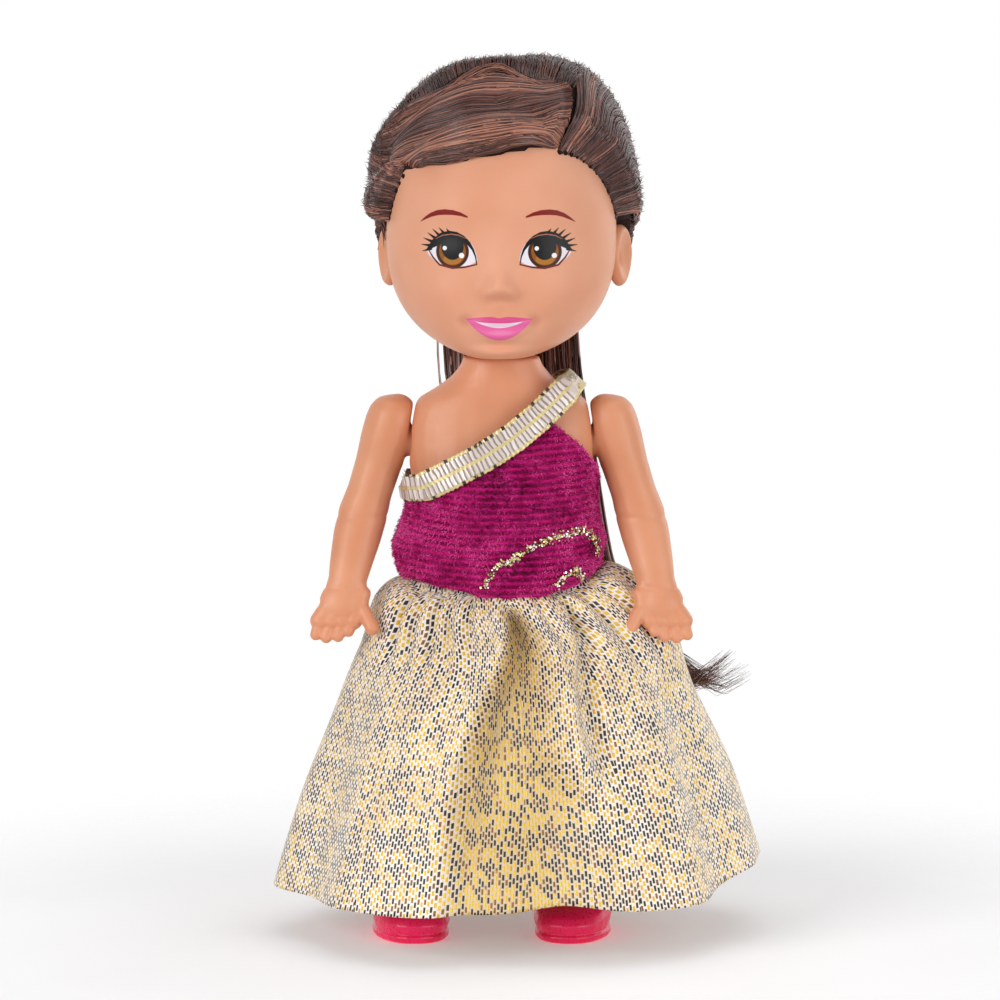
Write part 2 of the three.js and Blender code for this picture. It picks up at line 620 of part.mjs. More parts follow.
// Skirt surface: a flared bell with soft folds that deepen towards the hem
function skirtPoint(turn, share, offset) {
  const collar = share < 0 ? -share * SKIRT_COLLAR : 0;
  share = Math.max(share, 0);
  const z = THREE.MathUtils.lerp(SKIRT_TOP_Z - SKIRT_COLLAR, hemHeight(turn), share) + collar;
  const flare = SKIRT_TOP_RADIUS + SKIRT_FLARE * share ** 0.56;
  const folds = skirtFolds(turn, share);
  const dent = 4 * bump(Math.abs(Math.sin(turn)) - 1, 0.26) * bump(z - 42, 3);
  const wide = flare + folds - dent + offset;
  const depth = THREE.MathUtils.lerp(0.64, SKIRT_DEPTH_RATIO, Math.min(share * 3, 1));
  const drift = 1.9 * THREE.MathUtils.smoothstep(share, 0.08, 0.4);
  return point(wide * Math.sin(turn) + drift, -(flare * depth + folds + offset) * Math.cos(turn), z);
}

// Turn is measured from the front, towards the left side of the doll, where the hem is caught up
function hemHeight(turn) {
  const caught = 3.2 * Math.max(0, Math.sin(turn)) ** 8 + 1.2 * bump(turn - 0.22, 0.14);
  return SKIRT_HEM_Z + 0.3 * Math.sin(turn) + caught;
}

function skirtFolds(turn, share) {
  const deep = THREE.MathUtils.smoothstep(share, 0.02, 0.75);
  const near = (centre, spread) => bump(Math.atan2(Math.sin(turn - centre), Math.cos(turn - centre)), spread);
  const valleys = -3.4 * near(0.08, 0.17) - 2.4 * near(-1.1, 0.16) - 2.6 * near(1.15, 0.14);
  const ridges = 1.3 * near(0.38, 0.12) + 1 * near(-0.4, 0.2) + 0.8 * near(0.8, 0.14);
  const rear = -2 * (near(2.1, 0.16) + near(2.75, 0.15) + near(-2.6, 0.16) + near(-1.9, 0.17));
  const gathers = 0.35 * Math.cos(13 * turn) * (1 - share) * THREE.MathUtils.smoothstep(share, 0, 0.05);
  return (valleys + ridges + rear) * deep + gathers;
}

function skirt() {
  const count = 52;
  const shares = [-1, 0, 0.03, 0.09, 0.18, 0.3, 0.44, 0.6, 0.76, 0.9, 1];
  const side = (offset) => shares.map((share) => Array.from({ length: count }, (_, i) => (
    skirtPoint((i / count) * Math.PI * 2, share, offset))));
  const outer = side(0);
  const inner = side(-SKIRT_THICKNESS).reverse();
  const rings = [...outer, ...inner];
  const index = [];
  for (let r = 0; r < rings.length; r += 1) {
    const next = (r + 1) % rings.length;
    for (let i = 0; i < count; i += 1) {
      const j = (i + 1) % count;
      const [a, b, c, d] = [r * count + i, r * count + j, next * count + j, next * count + i];
      index.push(a, b, c, a, c, d);
    }
  }
  return solid(geometryFrom(rings.flat().flatMap((p) => [p.x, p.y, p.z]), index));
}

// Hook and loop tapes that close the bodice at the back
function closure(inner, outer, x) {
  const strip = block(x, [0, 20], [SKIRT_TOP_Z + 0.6, 61.5]);
  return torsoForm(outer, 40, 78).subtract(torsoForm(inner, 39, 79)).intersect(strip);
}

const doll = new THREE.Group();
doll.name = 'princess_doll';

const add = (name, body, colour, roughness = 0.6) => doll.add(meshOf(name, body, colour, roughness));

const [front, back] = torsoHalves();
add('torso_front', front, COLOURS.skin);
add('torso_back', back, COLOURS.skin);
add('arm_left', arm(), COLOURS.skin);
add('arm_right', mirrored(arm()), COLOURS.skin);
for (const side of ['left', 'right']) {
  add(`leg_${side}`, leg(side), COLOURS.skin);
  add(`shoe_${side}`, shoe(side), COLOURS.shoe, 0.3);
}
add('head_shell', turnHead(headShell()), COLOURS.skin);
add('hair_crown', turnHead(crown()), COLOURS.hair, 0.5);
add('hair_fringe', turnHead(fringe()), COLOURS.hair, 0.5);
add('hair_side_left', turnHead(sideLeft()), COLOURS.hair, 0.5);
add('hair_lock_right', turnHead(lockRight()), COLOURS.hair, 0.5);
add('hair_tie', hairTie(), COLOURS.velvet, 0.7);
add('hair_fall', hairFall(), COLOURS.hair, 0.5);
add('bodice', bodice(), COLOURS.velvet, 0.9);
add('strap_trim', strapTrim(), COLOURS.braid, 0.5);
add('skirt', skirt(), COLOURS.lame, 0.4);
add('closure_hook', closure(GAP * 2 + BODICE_THICKNESS, GAP * 2 + BODICE_THICKNESS + 0.5, [0.8, 3.4]), COLOURS.tape, 0.9);
add('closure_loop', closure(GAP * 2 + BODICE_THICKNESS, GAP * 2 + BODICE_THICKNESS + 0.5, [-3.4, -0.8]), COLOURS.tape, 0.9);

// Set the middle of the doll over the origin, with the soles on the ground
const extent = new THREE.Box3().setFromObject(doll);
const centre = extent.getCenter(point(0, 0, 0));
doll.position.set(-centre.x, -centre.y, -extent.min.z);

export default doll;
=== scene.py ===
# %% [markdown]
# # Dressing a small jointed doll
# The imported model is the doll's frame: it says where every piece sits and how the joints turn.
# This lesson puts skin, paint, hair and cloth over that frame. Lengths are written in millimetres
# and turned to metres at the last moment, because a small doll is easier to think of that way.

# %% Load the frame
import json
import math

import bmesh
import bpy
import numpy as np
from mathutils import Matrix, Vector
from mathutils.bvhtree import BVHTree
from mathutils.noise import noise as wander


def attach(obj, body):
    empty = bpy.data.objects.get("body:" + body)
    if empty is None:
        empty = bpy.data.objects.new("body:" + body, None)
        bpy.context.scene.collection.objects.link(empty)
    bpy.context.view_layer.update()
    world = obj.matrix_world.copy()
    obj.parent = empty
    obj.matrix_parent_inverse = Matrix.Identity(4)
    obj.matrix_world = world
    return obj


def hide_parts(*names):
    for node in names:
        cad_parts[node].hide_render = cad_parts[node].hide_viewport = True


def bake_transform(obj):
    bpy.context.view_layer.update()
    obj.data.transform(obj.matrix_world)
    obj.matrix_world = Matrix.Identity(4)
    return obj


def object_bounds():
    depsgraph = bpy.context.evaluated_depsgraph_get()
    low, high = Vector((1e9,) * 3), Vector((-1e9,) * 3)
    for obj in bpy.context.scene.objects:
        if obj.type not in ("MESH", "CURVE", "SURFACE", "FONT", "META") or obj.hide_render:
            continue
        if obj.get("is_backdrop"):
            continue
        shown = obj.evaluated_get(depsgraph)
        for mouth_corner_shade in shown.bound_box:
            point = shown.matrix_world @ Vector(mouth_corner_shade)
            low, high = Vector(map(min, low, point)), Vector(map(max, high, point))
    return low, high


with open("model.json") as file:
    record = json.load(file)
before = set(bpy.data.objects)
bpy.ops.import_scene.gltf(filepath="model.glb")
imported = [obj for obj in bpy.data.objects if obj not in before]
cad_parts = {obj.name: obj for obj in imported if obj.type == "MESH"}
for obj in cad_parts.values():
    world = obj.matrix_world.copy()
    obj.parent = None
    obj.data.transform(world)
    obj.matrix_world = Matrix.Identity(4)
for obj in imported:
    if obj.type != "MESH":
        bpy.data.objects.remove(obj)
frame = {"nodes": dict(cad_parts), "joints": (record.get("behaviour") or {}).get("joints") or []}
cad_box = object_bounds()
neck = next(j for j in frame["joints"] if j["name"] == "neck_turn")["pos_m"]
AXIS = np.array([neck[0], neck[1], 0])
MM = 0.001
scene = bpy.context.scene
random = np.random.default_rng(12)
print("nodes", len(frame["nodes"]), "axis of the body, mm", (AXIS / MM).round(3))

# %% [markdown]
# ## Camera, lamps and background
# A product photograph of a doll is taken from a little above, from far enough away that the face
# isn't stretched. Big soft lamps keep the colours plain. The sky behind is white only to the
# camera and to reflections, so that it adds no light to the doll.

# %% Camera
def place(x, y, z):
    """A point given in millimetres from the doll's axis."""
    return Vector(AXIS + np.array([x, y, z]) * MM)


DISTANCE = 600
ELEVATION = math.radians(6)
target = place(-0.2, 0, 58.84)
away = Vector((0, -math.cos(ELEVATION), math.sin(ELEVATION)))
camera = bpy.data.objects.new("camera", bpy.data.cameras.new("camera"))
scene.collection.objects.link(camera)
camera.location = target + away * DISTANCE * MM
camera.rotation_euler = (-away).to_track_quat("-Z", "Y").to_euler()
camera.data.lens = 160
camera.data.sensor_width = 36
camera.data.clip_start = 0.01
scene.camera = camera
print("camera", [round(v, 3) for v in camera.location])


# %% Lamps
LAMPS_AIM = Vector((0, 0, 0.06))


def lamp(name, spot, size, power):
    """A square lamp at a spot in metres, aimed at the doll's waist."""
    data = bpy.data.lights.new(name, "AREA")
    data.size = size
    data.energy = power
    made = bpy.data.objects.new(name, data)
    scene.collection.objects.link(made)
    made.location = Vector(spot)
    made.rotation_euler = (LAMPS_AIM - made.location).to_track_quat("-Z", "Y").to_euler()


lamp("key", (-0.52, -0.52, 0.28), 0.45, 3.0)
lamp("fill", (0.56, -0.48, 0.12), 0.5, 2.1)
lamp("top", (0.05, -0.1, 0.75), 0.6, 1.0)
lamp("rim", (0.5, 0.35, 0.25), 0.4, 0.7)


# %% [markdown]
# ## A small language for materials
# Shader nodes are sums and mixes. Writing them as Python sums keeps a finish readable: one class
# wraps a socket, and + - * / on it add the Math nodes that the editor would show.

# %% Sums on shader sockets
class Wire:
    """A shader socket that can be used in Python sums."""

    def __init__(self, socket):
        self.socket = socket

    def node(self, kind, settings=None, inputs=None, output=0):
        made = self.socket.id_data.nodes.new(kind)
        for name, value in (settings or {}).items():
            setattr(made, name, value)
        for name, value in (inputs or {}).items():
            if isinstance(value, Wire):
                self.socket.id_data.links.new(value.socket, made.inputs[name])
            else:
                made.inputs[name].default_value = value
        return Wire(made.outputs[output])

    def math(self, operation, first, second=0.0):
        return self.node("ShaderNodeMath", {"operation": operation}, {0: first, 1: second})

    def __add__(self, other):
        return self.math("ADD", self, other)

    def __sub__(self, other):
        return self.math("SUBTRACT", self, other)

    def __rsub__(self, other):
        return self.math("SUBTRACT", other, self)

    def __mul__(self, other):
        return self.math("MULTIPLY", self, other)

    def __truediv__(self, other):
        return self.math("DIVIDE", self, other)

    def __abs__(self):
        return self.math("ABSOLUTE", self)

    __radd__, __rmul__ = __add__, __mul__

    def root(self):
        return self.math("SQRT", self)

    def fraction(self):
        return self.math("FRACT", self)

    def floor(self):
        return self.math("FLOOR", self)

    def wave(self):
        return self.math("SINE", self * math.tau)

    def least(self, other):
        return self.math("MINIMUM", self, other)

    def most(self, other):
        return self.math("MAXIMUM", self, other)

    def rise(self, low, high, start=0.0, end=1.0):
        """Smoothly from start to end as this value goes from low to high."""
        settings = {"interpolation_type": "SMOOTHSTEP"}
        inputs = {"Value": self, "From Min": low, "From Max": high, "To Min": start, "To Max": end}
        return self.node("ShaderNodeMapRange", settings, inputs)

    def parts(self):
        apart = self.node("ShaderNodeSeparateXYZ", None, {0: self})
        return [Wire(s) for s in apart.socket.node.outputs]

    def noise(self, scale, detail=2.0, roughness=0.5):
        inputs = {"Vector": self, "Scale": scale, "Detail": detail, "Roughness": roughness}
        return self.node("ShaderNodeTexNoise", None, inputs)

    def chance(self, other):
        """A random number that stays the same for each pair of whole numbers."""
        pair = self.node("ShaderNodeCombineXYZ", None, {0: self, 1: other})
        return pair.node("ShaderNodeTexWhiteNoise", {"noise_dimensions": "2D"}, {"Vector": pair})

    def stretched(self, x, y, z):
        """These coordinates scaled by x, y and z."""
        return self.node("ShaderNodeMapping", None, {"Vector": self, "Scale": (x, y, z)})

    def blend(self, here, there):
        """The colour here where this mask is 0 and the colour there where it is 1."""
        return self.node("ShaderNodeMix", {"data_type": "RGBA"}, {0: self, 6: here, 7: there}, 2)

    def bump(self, strength, distance):
        inputs = {"Strength": strength, "Distance": distance, "Height": self}
        return self.node("ShaderNodeBump", None, inputs)


def colour(r, g, b):
    """A screen colour, 0 to 255, as the linear one that shaders use."""
    channels = [c / 255 for c in (r, g, b)]
    return (*[c / 12.92 if c < 0.04 else ((c + 0.055) / 1.055) ** 2.4 for c in channels], 1)


# %% A finish is a material with a recipe
def finish(name, recipe, **fixed):
    """The recipe turns object coordinates in metres into the sockets that vary."""
    material = bpy.data.materials.new(name)
    material.use_nodes = True
    tree = material.node_tree
    shader = tree.nodes["Principled BSDF"]
    for socket, value in fixed.items():
        shader.inputs[socket.replace("_", " ")].default_value = value
    seed = Wire(tree.nodes.new("ShaderNodeTexCoord").outputs["Object"])
    for socket, value in recipe(seed).items():
        tree.links.new(value.socket, shader.inputs[socket.replace("_", " ")])
    return material


def measured(seed, name):
    """A number stored on the mesh, such as a distance along a seam."""
    return seed.node("ShaderNodeAttribute", {"attribute_name": name}, output=2)


# %% Sky
LIGHT_ON_DOLL = 0.34
world = bpy.data.worlds.new("studio")
scene.world = world
world.use_nodes = True
sky = world.node_tree.nodes["Background"]
ray = world.node_tree.nodes.new("ShaderNodeLightPath")
seen = Wire(ray.outputs["Is Camera Ray"]).most(Wire(ray.outputs["Is Glossy Ray"]))
seen = seen.most(Wire(ray.outputs["Is Transmission Ray"]))
strength = seen * (1 - LIGHT_ON_DOLL) + LIGHT_ON_DOLL
world.node_tree.links.new(strength.socket, sky.inputs["Strength"])
sky.inputs["Color"].default_value = (1, 1, 1, 1)
scene.view_settings.view_transform = "Standard"
print("sky", LIGHT_ON_DOLL, "on the doll and 1 behind it")


# %% Floor that fades into the white
FLOOR_RADIUS, FADE_FROM, FADE_TO = 0.25, 0.05, 0.13


def floor_recipe(at):
    x, y, z = at.parts()
    reach = (x * x + y * y).root()
    mottle = at.noise(30)
    return {"Base_Color": mottle.rise(0.3, 0.7).blend(colour(250, 250, 251), colour(253, 253, 254)),
            "Roughness": mottle.rise(0, 1, 0.85, 0.95), "Alpha": reach.rise(FADE_FROM, FADE_TO, 1, 0)}


ground = bmesh.new()
bmesh.ops.create_circle(ground, cap_ends=True, segments=64, radius=FLOOR_RADIUS)
floor_mesh = bpy.data.meshes.new("floor")
ground.to_mesh(floor_mesh)
ground.free()
floor = bpy.data.objects.new("floor", floor_mesh)
scene.collection.objects.link(floor)
glow = {"Emission_Color": (1, 1, 1, 1), "Emission_Strength": 0.2}
floor_mesh.materials.append(finish("plain floor", floor_recipe, **glow))
floor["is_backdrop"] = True
print("floor", tuple(round(v, 2) for v in floor.dimensions))


# %% [markdown]
# ## Helpers for moulded pieces
# The frame's pieces are faceted. A copy is merged, remeshed finely and smoothed, which gives the
# soft edges of moulded vinyl without moving the shape. New pieces start as bmesh shapes instead.

# %% From a mesh to a piece on the doll
def piece(name, mesh, body, material, stands_for=()):
    """An object that rides on a body and stands for nodes of the frame."""
    made = bpy.data.objects.new(name, mesh)
    scene.collection.objects.link(made)
    mesh.materials.clear()
    mesh.materials.append(material)
    mesh.shade_smooth()
    if body:
        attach(made, body)
    if stands_for:
        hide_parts(*stands_for)
    return made


def mesh_of(form, name):
    """The bmesh as a mesh. The bmesh is used up."""
    mesh = bpy.data.meshes.new(name)
    form.to_mesh(mesh)
    form.free()
    return mesh


def applied(made):
    """The object's mesh with its modifiers worked in. The object is used up."""
    graph = bpy.context.evaluated_depsgraph_get()
    mesh = bpy.data.meshes.new_from_object(made.evaluated_get(graph))
    bpy.data.objects.remove(made)
    return mesh


def moulded(node, voxel, rounds, reshape=None):
    """A smooth copy of a frame node, changed first by reshape where that is given."""
    form = bmesh.new()
    form.from_mesh(frame["nodes"][node].data)
    bmesh.ops.remove_doubles(form, verts=form.verts, dist=2e-6)
    if reshape:
        reshape(form)
    shape = bpy.data.objects.new(node + "_moulded", mesh_of(form, node + "_moulded"))
    scene.collection.objects.link(shape)
    remesh = shape.modifiers.new("even faces", "REMESH")
    remesh.mode, remesh.voxel_size, remesh.adaptivity = "VOXEL", voxel * MM, 0
    smooth = shape.modifiers.new("soft edges", "SMOOTH")
    smooth.factor, smooth.iterations = 0.5, rounds
    return applied(shape)


def points_of(mesh, kind="co"):
    values = np.zeros(len(mesh.vertices) * 3)
    mesh.vertices.foreach_get(kind, values)
    return values.reshape(-1, 3)


def move_points(mesh, points):
    mesh.vertices.foreach_set("co", points.ravel())
    mesh.update()


def store(mesh, name, values):
    """Keeps one number for every point, which a finish reads with measured."""
    mesh.attributes.new(name, "FLOAT", "POINT").data.foreach_set("value", np.asarray(values, float))


def hill(distance, spread):
    """1 at no distance, falling smoothly to nothing."""
    return np.exp(-0.5 * (distance / spread) ** 2)


def smooth_step(value, low, high):
    """0 below low, 1 above high and smooth between."""
    t = np.clip((value - low) / (high - low), 0, 1)
    return t * t * (3 - 2 * t)


# %% Many copies of a small shape
def repeated(form, places, turns_, sizes, shades):
    """One mesh with a copy of a small shape at every place, turned and sized."""
    form.verts.index_update()
    shape = np.array([v.co for v in form.verts])
    faces = [[v.index for v in f.verts] for f in form.faces]
    form.free()
    copies = np.einsum("nij,vj->nvi", turns_, shape) * sizes[:, None, None] + places[:, None]
    mesh = bpy.data.meshes.new("repeated")
    all_faces = [[i + n * len(shape) for i in f] for n in range(len(places)) for f in faces]
    mesh.from_pydata(copies.reshape(-1, 3).tolist(), [], all_faces)
    store(mesh, "shade", np.repeat(shades, len(shape)))
    return mesh


def turns_to(ways):
    """Turns that carry +Z to each direction."""
    ways = ways / np.linalg.norm(ways, axis=1)[:, None]
    helper = np.where(np.abs(ways[:, 2:]) < 0.9, [[0, 0, 1.0]], [[1.0, 0, 0]])
    side = np.cross(helper, ways)
    side /= np.linalg.norm(side, axis=1)[:, None]
    return np.stack([side, np.cross(ways, side), ways], 2)


# %% [markdown]
# ## Vinyl skin
# Soft vinyl is warm, a little translucent and slightly shiny where it catches the light. Colour
# drifts very gently over the body, and a fine grain keeps the gloss from being a mirror.

# %% Skin
def skin_recipe(at, light=(228, 158, 120), deep=(220, 147, 108)):
    drift = at.noise(90, 2).rise(0.35, 0.7)
    grain = at.noise(2500, 3)
    return {"Base_Color": drift.blend(colour(*light), colour(*deep)),
            "Roughness": grain.rise(0.3, 0.7, 0.36, 0.46), "Normal": grain.bump(0.1, 0.0001)}


SOFT_VINYL = {"Subsurface_Weight": 0.15, "Subsurface_Scale": 0.002, "Specular_IOR_Level": 0.45}
BODY_VOXEL, BODY_ROUNDS = 0.3, 16
skin = finish("vinyl skin", skin_recipe, **SOFT_VINYL)
SMOOTH_PARTS = {"torso_front": "body", "torso_back": "body", "leg_left": "leg_l", "leg_right": "leg_r"}
for node, body in SMOOTH_PARTS.items():
    made = piece("skin_" + node, moulded(node, BODY_VOXEL, BODY_ROUNDS), body, skin, [node])
    print(made.name, len(made.data.polygons), "faces")


# %% [markdown]
# ## Arms and hands
# A small doll's hand is a mitten with four short fingers moulded side by side and a thumb. The
# frame's plain hand is cut off at the wrist. A flattened ball and eight round-ended rods replace
# it, and the even remesh melts them into one skin, as the mould does. Everything above the wrist
# is smoothed once more, and shallow folds are pressed in at the wrist and the elbow.

# %% A hand from rods
WRIST = 46
PALM, PALM_SIZE = (21.4, -5, 45), (3, 1.9, 3)
FINGER_TIPS = ((20.5, 41.8), (21.9, 41.1), (23.5, 40.95), (24.9, 41.35))
FINGER, FINGER_END, THUMB = 1.3, 0.8, 1.0


def rod(form, start, end, thick):
    """A round-ended rod between two points."""
    start, end = place(*start), place(*end)
    turn = (end - start).to_track_quat("Z", "X").to_matrix()
    for vertex in bmesh.ops.create_uvsphere(form, u_segments=16, v_segments=12, radius=1)["verts"]:
        vertex.co = (end if vertex.co.z > 0.01 else start) + turn @ vertex.co * thick * MM


def hand(side):
    """What swaps the plain hand for one with fingers. The side is 1 on the left and -1 on the right."""
    def reshape(form):
        everything = [*form.verts, *form.edges, *form.faces]
        wrist = {"plane_co": place(0, 0, WRIST), "plane_no": (0, 0, -1), "clear_outer": True}
        cut = bmesh.ops.bisect_plane(form, geom=everything, **wrist)["geom_cut"]
        bmesh.ops.edgenet_fill(form, edges=[e for e in cut if isinstance(e, bmesh.types.BMEdge)])
        for vertex in bmesh.ops.create_uvsphere(form, u_segments=32, v_segments=24, radius=1)["verts"]:
            x, y, z = (middle + half * share for middle, half, share in zip(PALM, PALM_SIZE, vertex.co))
            vertex.co = place(side * x, y, z)
        for i, (tip_x, tip_z) in enumerate(FINGER_TIPS):
            knuckle = (side * (19.9 + 1.5 * i), -5.6, 43.2)
            rod(form, (side * (18.7 + 1.1 * i), -4.8, 46.8), knuckle, FINGER)
            rod(form, knuckle, (side * tip_x, -6.2, tip_z), FINGER_END)
        rod(form, (side * 18.9, -5.3, 45.3), (side * 17.3, -6.8, 42.3), THUMB)
    return reshape


def wider_smoothing(mesh, rounds, lowest):
    """Smooths again everything above a height, in millimetres."""
    form = bmesh.new()
    form.from_mesh(mesh)
    some = [v for v in form.verts if v.co.z > lowest * MM]
    for _ in range(rounds):
        bmesh.ops.smooth_vert(form, verts=some, factor=0.5, use_axis_x=True, use_axis_y=True, use_axis_z=True)
    form.to_mesh(mesh)
    form.free()


# %% Arms
WRIST_FOLD, ELBOW_FOLD = 47.6, 56.8
for node, body, side in (("arm_left", "arm_l", 1), ("arm_right", "arm_r", -1)):
    mesh = moulded(node, 0.17, 6, hand(side))
    wider_smoothing(mesh, 30, WRIST - 1.1)
    points = points_of(mesh)
    height = points[:, 2] / MM
    folds = -0.12 * hill(height - WRIST_FOLD, 0.24) - 0.09 * hill(height - ELBOW_FOLD, 0.3)
    move_points(mesh, points + points_of(mesh, "normal") * folds[:, None] * MM)
    made = piece("skin_" + node, mesh, body, skin, [node])
    print(made.name, len(made.data.polygons), "faces")

# %% [markdown]
# ## The head
# A rotocast head is one smooth hollow form. It starts as a sphere whose points are moved to the
# profile of the head, and soft hills make the nose, lips, cheeks and chin. The frame's head has the
# same profile with fewer points.

# %% Head profile
HEAD_LOW, HEAD_TOP = 78.6, 114.6
HALF_WIDTH, FACE_DEPTH, NAPE_DEPTH = 15.4, 14.7, 17.4
HEAD_TURN = math.radians(-2.5)
TURN = np.array(Matrix.Rotation(HEAD_TURN, 3, "Z"))


def domed(z, wide, bowl, dome, open_by):
    """A share of the full size: a bowl up to the widest height and a dome above it."""
    below = (1 - np.clip((wide - z) / (wide - HEAD_LOW + open_by), 0, 1) ** bowl[0]) ** bowl[1]
    above = (1 - np.clip((z - wide) / (HEAD_TOP - wide), 0, 1) ** dome[0]) ** dome[1]
    return np.where(z < wide, below, above)


def head_size(z):
    """Half width, depth to the face and depth to the back, at a height."""
    wide = HALF_WIDTH * domed(z, 95, (2.6, 0.526), (2.2, 0.5), 0.6)
    face = FACE_DEPTH * domed(z, 99, (1.5, 0.087), (3, 0.5), 0.25)
    back = NAPE_DEPTH * domed(z, 98, (2, 0.5), (2.1, 0.5), 0.5)
    return wide, face, back


def face_relief(x, z):
    """How far the face stands out of the plain profile."""
    eyes = np.abs(x - 0.2)
    x = x - 0.4
    side = np.abs(x)
    tip = np.where(z > 88.1, (z - 88.1) / 1.5, (z - 88.1) / 0.75)
    nose = 1.9 * hill(x, 1.15) * hill(tip, 1) + 0.4 * hill(x, 1.1) * hill(z - 91, 1.8)
    wings = 0.8 * hill(side - 1.75, 0.55) * hill(z - 87.6, 0.6)
    under = -0.2 * hill(side - 0.9, 0.5) * hill(z - 86.5, 0.35)
    groove = -0.2 * hill(x, 0.45) * hill(z - 85, 0.5)
    upper_lip = 0.6 * hill(x, 2.8) * hill(z - 83.8 + 0.016 * x * x, 0.4)
    parting = -0.3 * hill(x, 3) * hill(z - 83.0 - 0.02 * x * x, 0.3)
    lower_lip = 1.0 * hill(x, 2.4) * hill(z - 81.9 - 0.09 * x * x, 0.55)
    below = -0.45 * hill(x, 2.2) * hill(z - 80.6, 0.4)
    corners = -0.45 * hill(side - 4.6, 0.7) * hill(z - 83.7, 0.7)
    chin = 0.6 * hill(x, 2.8) * hill(z - 79.6, 0.6)
    cheeks = 0.8 * hill(side - 8, 2.8) * hill(z - 86.4, 2.4)
    sockets = -0.7 * hill(eyes - 5.9, 3.4) * hill(z - 93.6, 2.5)
    balls = 0.55 * hill(eyes - 6.1, 2.2) * hill(z - 93.1, 1.6)
    brow = 0.3 * hill(eyes - 6.5, 3) * hill(z - 98.2, 1.6)
    mouth = groove + upper_lip + parting + lower_lip + below + corners + chin
    return nose + wings + under + mouth + cheeks + sockets + balls + brow


def on_head(points):
    """Points in the head's own millimetres, turned with the head and put in metres."""
    return np.asarray(points, float) @ TURN.T * MM + AXIS


# %% Head mesh
UNDERCUT = 0.55
form = bmesh.new()
bmesh.ops.create_uvsphere(form, u_segments=240, v_segments=160, radius=1)
unit = np.array([v.co for v in form.verts])
level = HEAD_LOW - UNDERCUT + (unit[:, 2] + 1) / 2 * (HEAD_TOP - HEAD_LOW + UNDERCUT)
wide, face, back = head_size(level)
flat = np.hypot(unit[:, 0], unit[:, 1]).clip(1e-6)
across, ahead = unit[:, 0] / flat, -unit[:, 1] / flat
depth = np.where(ahead > 0, face, back)
shaped = np.stack([wide * np.sign(across) * np.abs(across) ** 0.94,
                   -depth * np.sign(ahead) * np.abs(ahead) ** 0.94, level.clip(HEAD_LOW + 0.02)], 1)
forward = smooth_step(-shaped[:, 1], 2, 9)
shaped[:, 1] -= face_relief(shaped[:, 0], shaped[:, 2]) * forward
for vertex, spot in zip(form.verts, on_head(shaped)):
    vertex.co = spot
bmesh.ops.recalc_face_normals(form, faces=form.faces)
scalp = BVHTree.FromBMesh(form)
head_mesh = mesh_of(form, "head")
print("head", len(head_mesh.polygons), "faces")

# %% [markdown]
# ## Face paint
# The eyes, brows and lips are printed on the vinyl. Each is a mask in the plane of the face, built
# from discs, arcs and short strokes. The two sides are mirrored, apart from the white highlights,
# which sit on the same side of both eyes. A pale highlight on the lower lip and shade in the mouth's
# corners are painted light and shade, laid over the print.

# %% Masks for discs and strokes
SOFT = 0.05


def inside(distance, soft=SOFT):
    """1 inside a shape and 0 outside, from its signed distance in millimetres."""
    return distance.rise(-soft, soft, 1, 0)


def disc(x, z, centre, wide, high):
    """Signed distance, near enough, to an upright oval."""
    dx, dz = (x - centre[0]) / wide, (z - centre[1]) / high
    return ((dx * dx + dz * dz).root() - 1) * min(wide, high)


def stroke(x, z, start, end, thick, thin):
    """Signed distance to a tapering stroke between two points."""
    (ax, az), (bx, bz) = start, end
    length = (bx - ax) ** 2 + (bz - az) ** 2
    along = (((x - ax) * (bx - ax) + (z - az) * (bz - az)) / length).most(0).least(1)
    dx = x - ax - along * (bx - ax)
    dz = z - az - along * (bz - az)
    return (dx * dx + dz * dz).root() - (along * (thin - thick) + thick)


def arc(x, z, points, widths):
    """Signed distance to a chain of strokes."""
    found = stroke(x, z, *points[:2], *widths[:2])
    for i in range(1, len(points) - 1):
        found = found.least(stroke(x, z, points[i], points[i + 1], widths[i], widths[i + 1]))
    return found


# %% Face recipe
MOUTH_LOW, MOUTH_HIGH, MOUTH_BOW = 81.35, 84.5, 0.143
LASHES = [((9.0, 93.3), (10.1, 93.0)), ((9.1, 93.75), (10.25, 93.85)), ((8.9, 94.3), (9.95, 94.7)),
          ((8.5, 94.8), (9.4, 95.4)), ((7.9, 95.15), (8.7, 95.9)), ((7.2, 95.4), (7.85, 96.1)),
          ((6.5, 95.5), (6.85, 96))]
UPPER_LID = [(2.85, 91.4), (3.0, 92.4), (3.35, 93.3), (3.9, 94.1), (4.75, 94.8), (5.6, 95.15), (6.5, 95.2),
             (7.4, 94.9), (8.4, 94.15), (9.4, 93.25)]
UPPER_WIDTHS = [0.07, 0.1, 0.16, 0.26, 0.38, 0.46, 0.54, 0.6, 0.54, 0.16]
LOWER_LID = [(2.85, 91.35), (4.45, 90.98), (6.1, 90.85), (7.8, 91.25), (8.7, 92.2), (9.3, 93.2)]
CREASE = [(4.3, 94.75), (5.2, 95.15), (6.3, 95.3), (7.4, 95.12), (8.3, 94.65)]
BROW = [(3.9, 97.6), (4.8, 97.95), (5.8, 98.15), (6.9, 98.2), (7.8, 98.1), (8.7, 97.8), (9.5, 97.35),
        (10.15, 96.9)]
BROW_WIDTHS = [0.12, 0.24, 0.33, 0.37, 0.34, 0.27, 0.17, 0.04]
IRIS = (6.07, 93.0)


def eye_opening(side, z):
    """Signed distance to the almond between the lids."""
    upper = disc(side, z, (6.2, 91.5), 3.45, 4)
    lower = disc(side, z, (5.7, 94.5), 4.2, 3.65)
    return upper.most(lower)


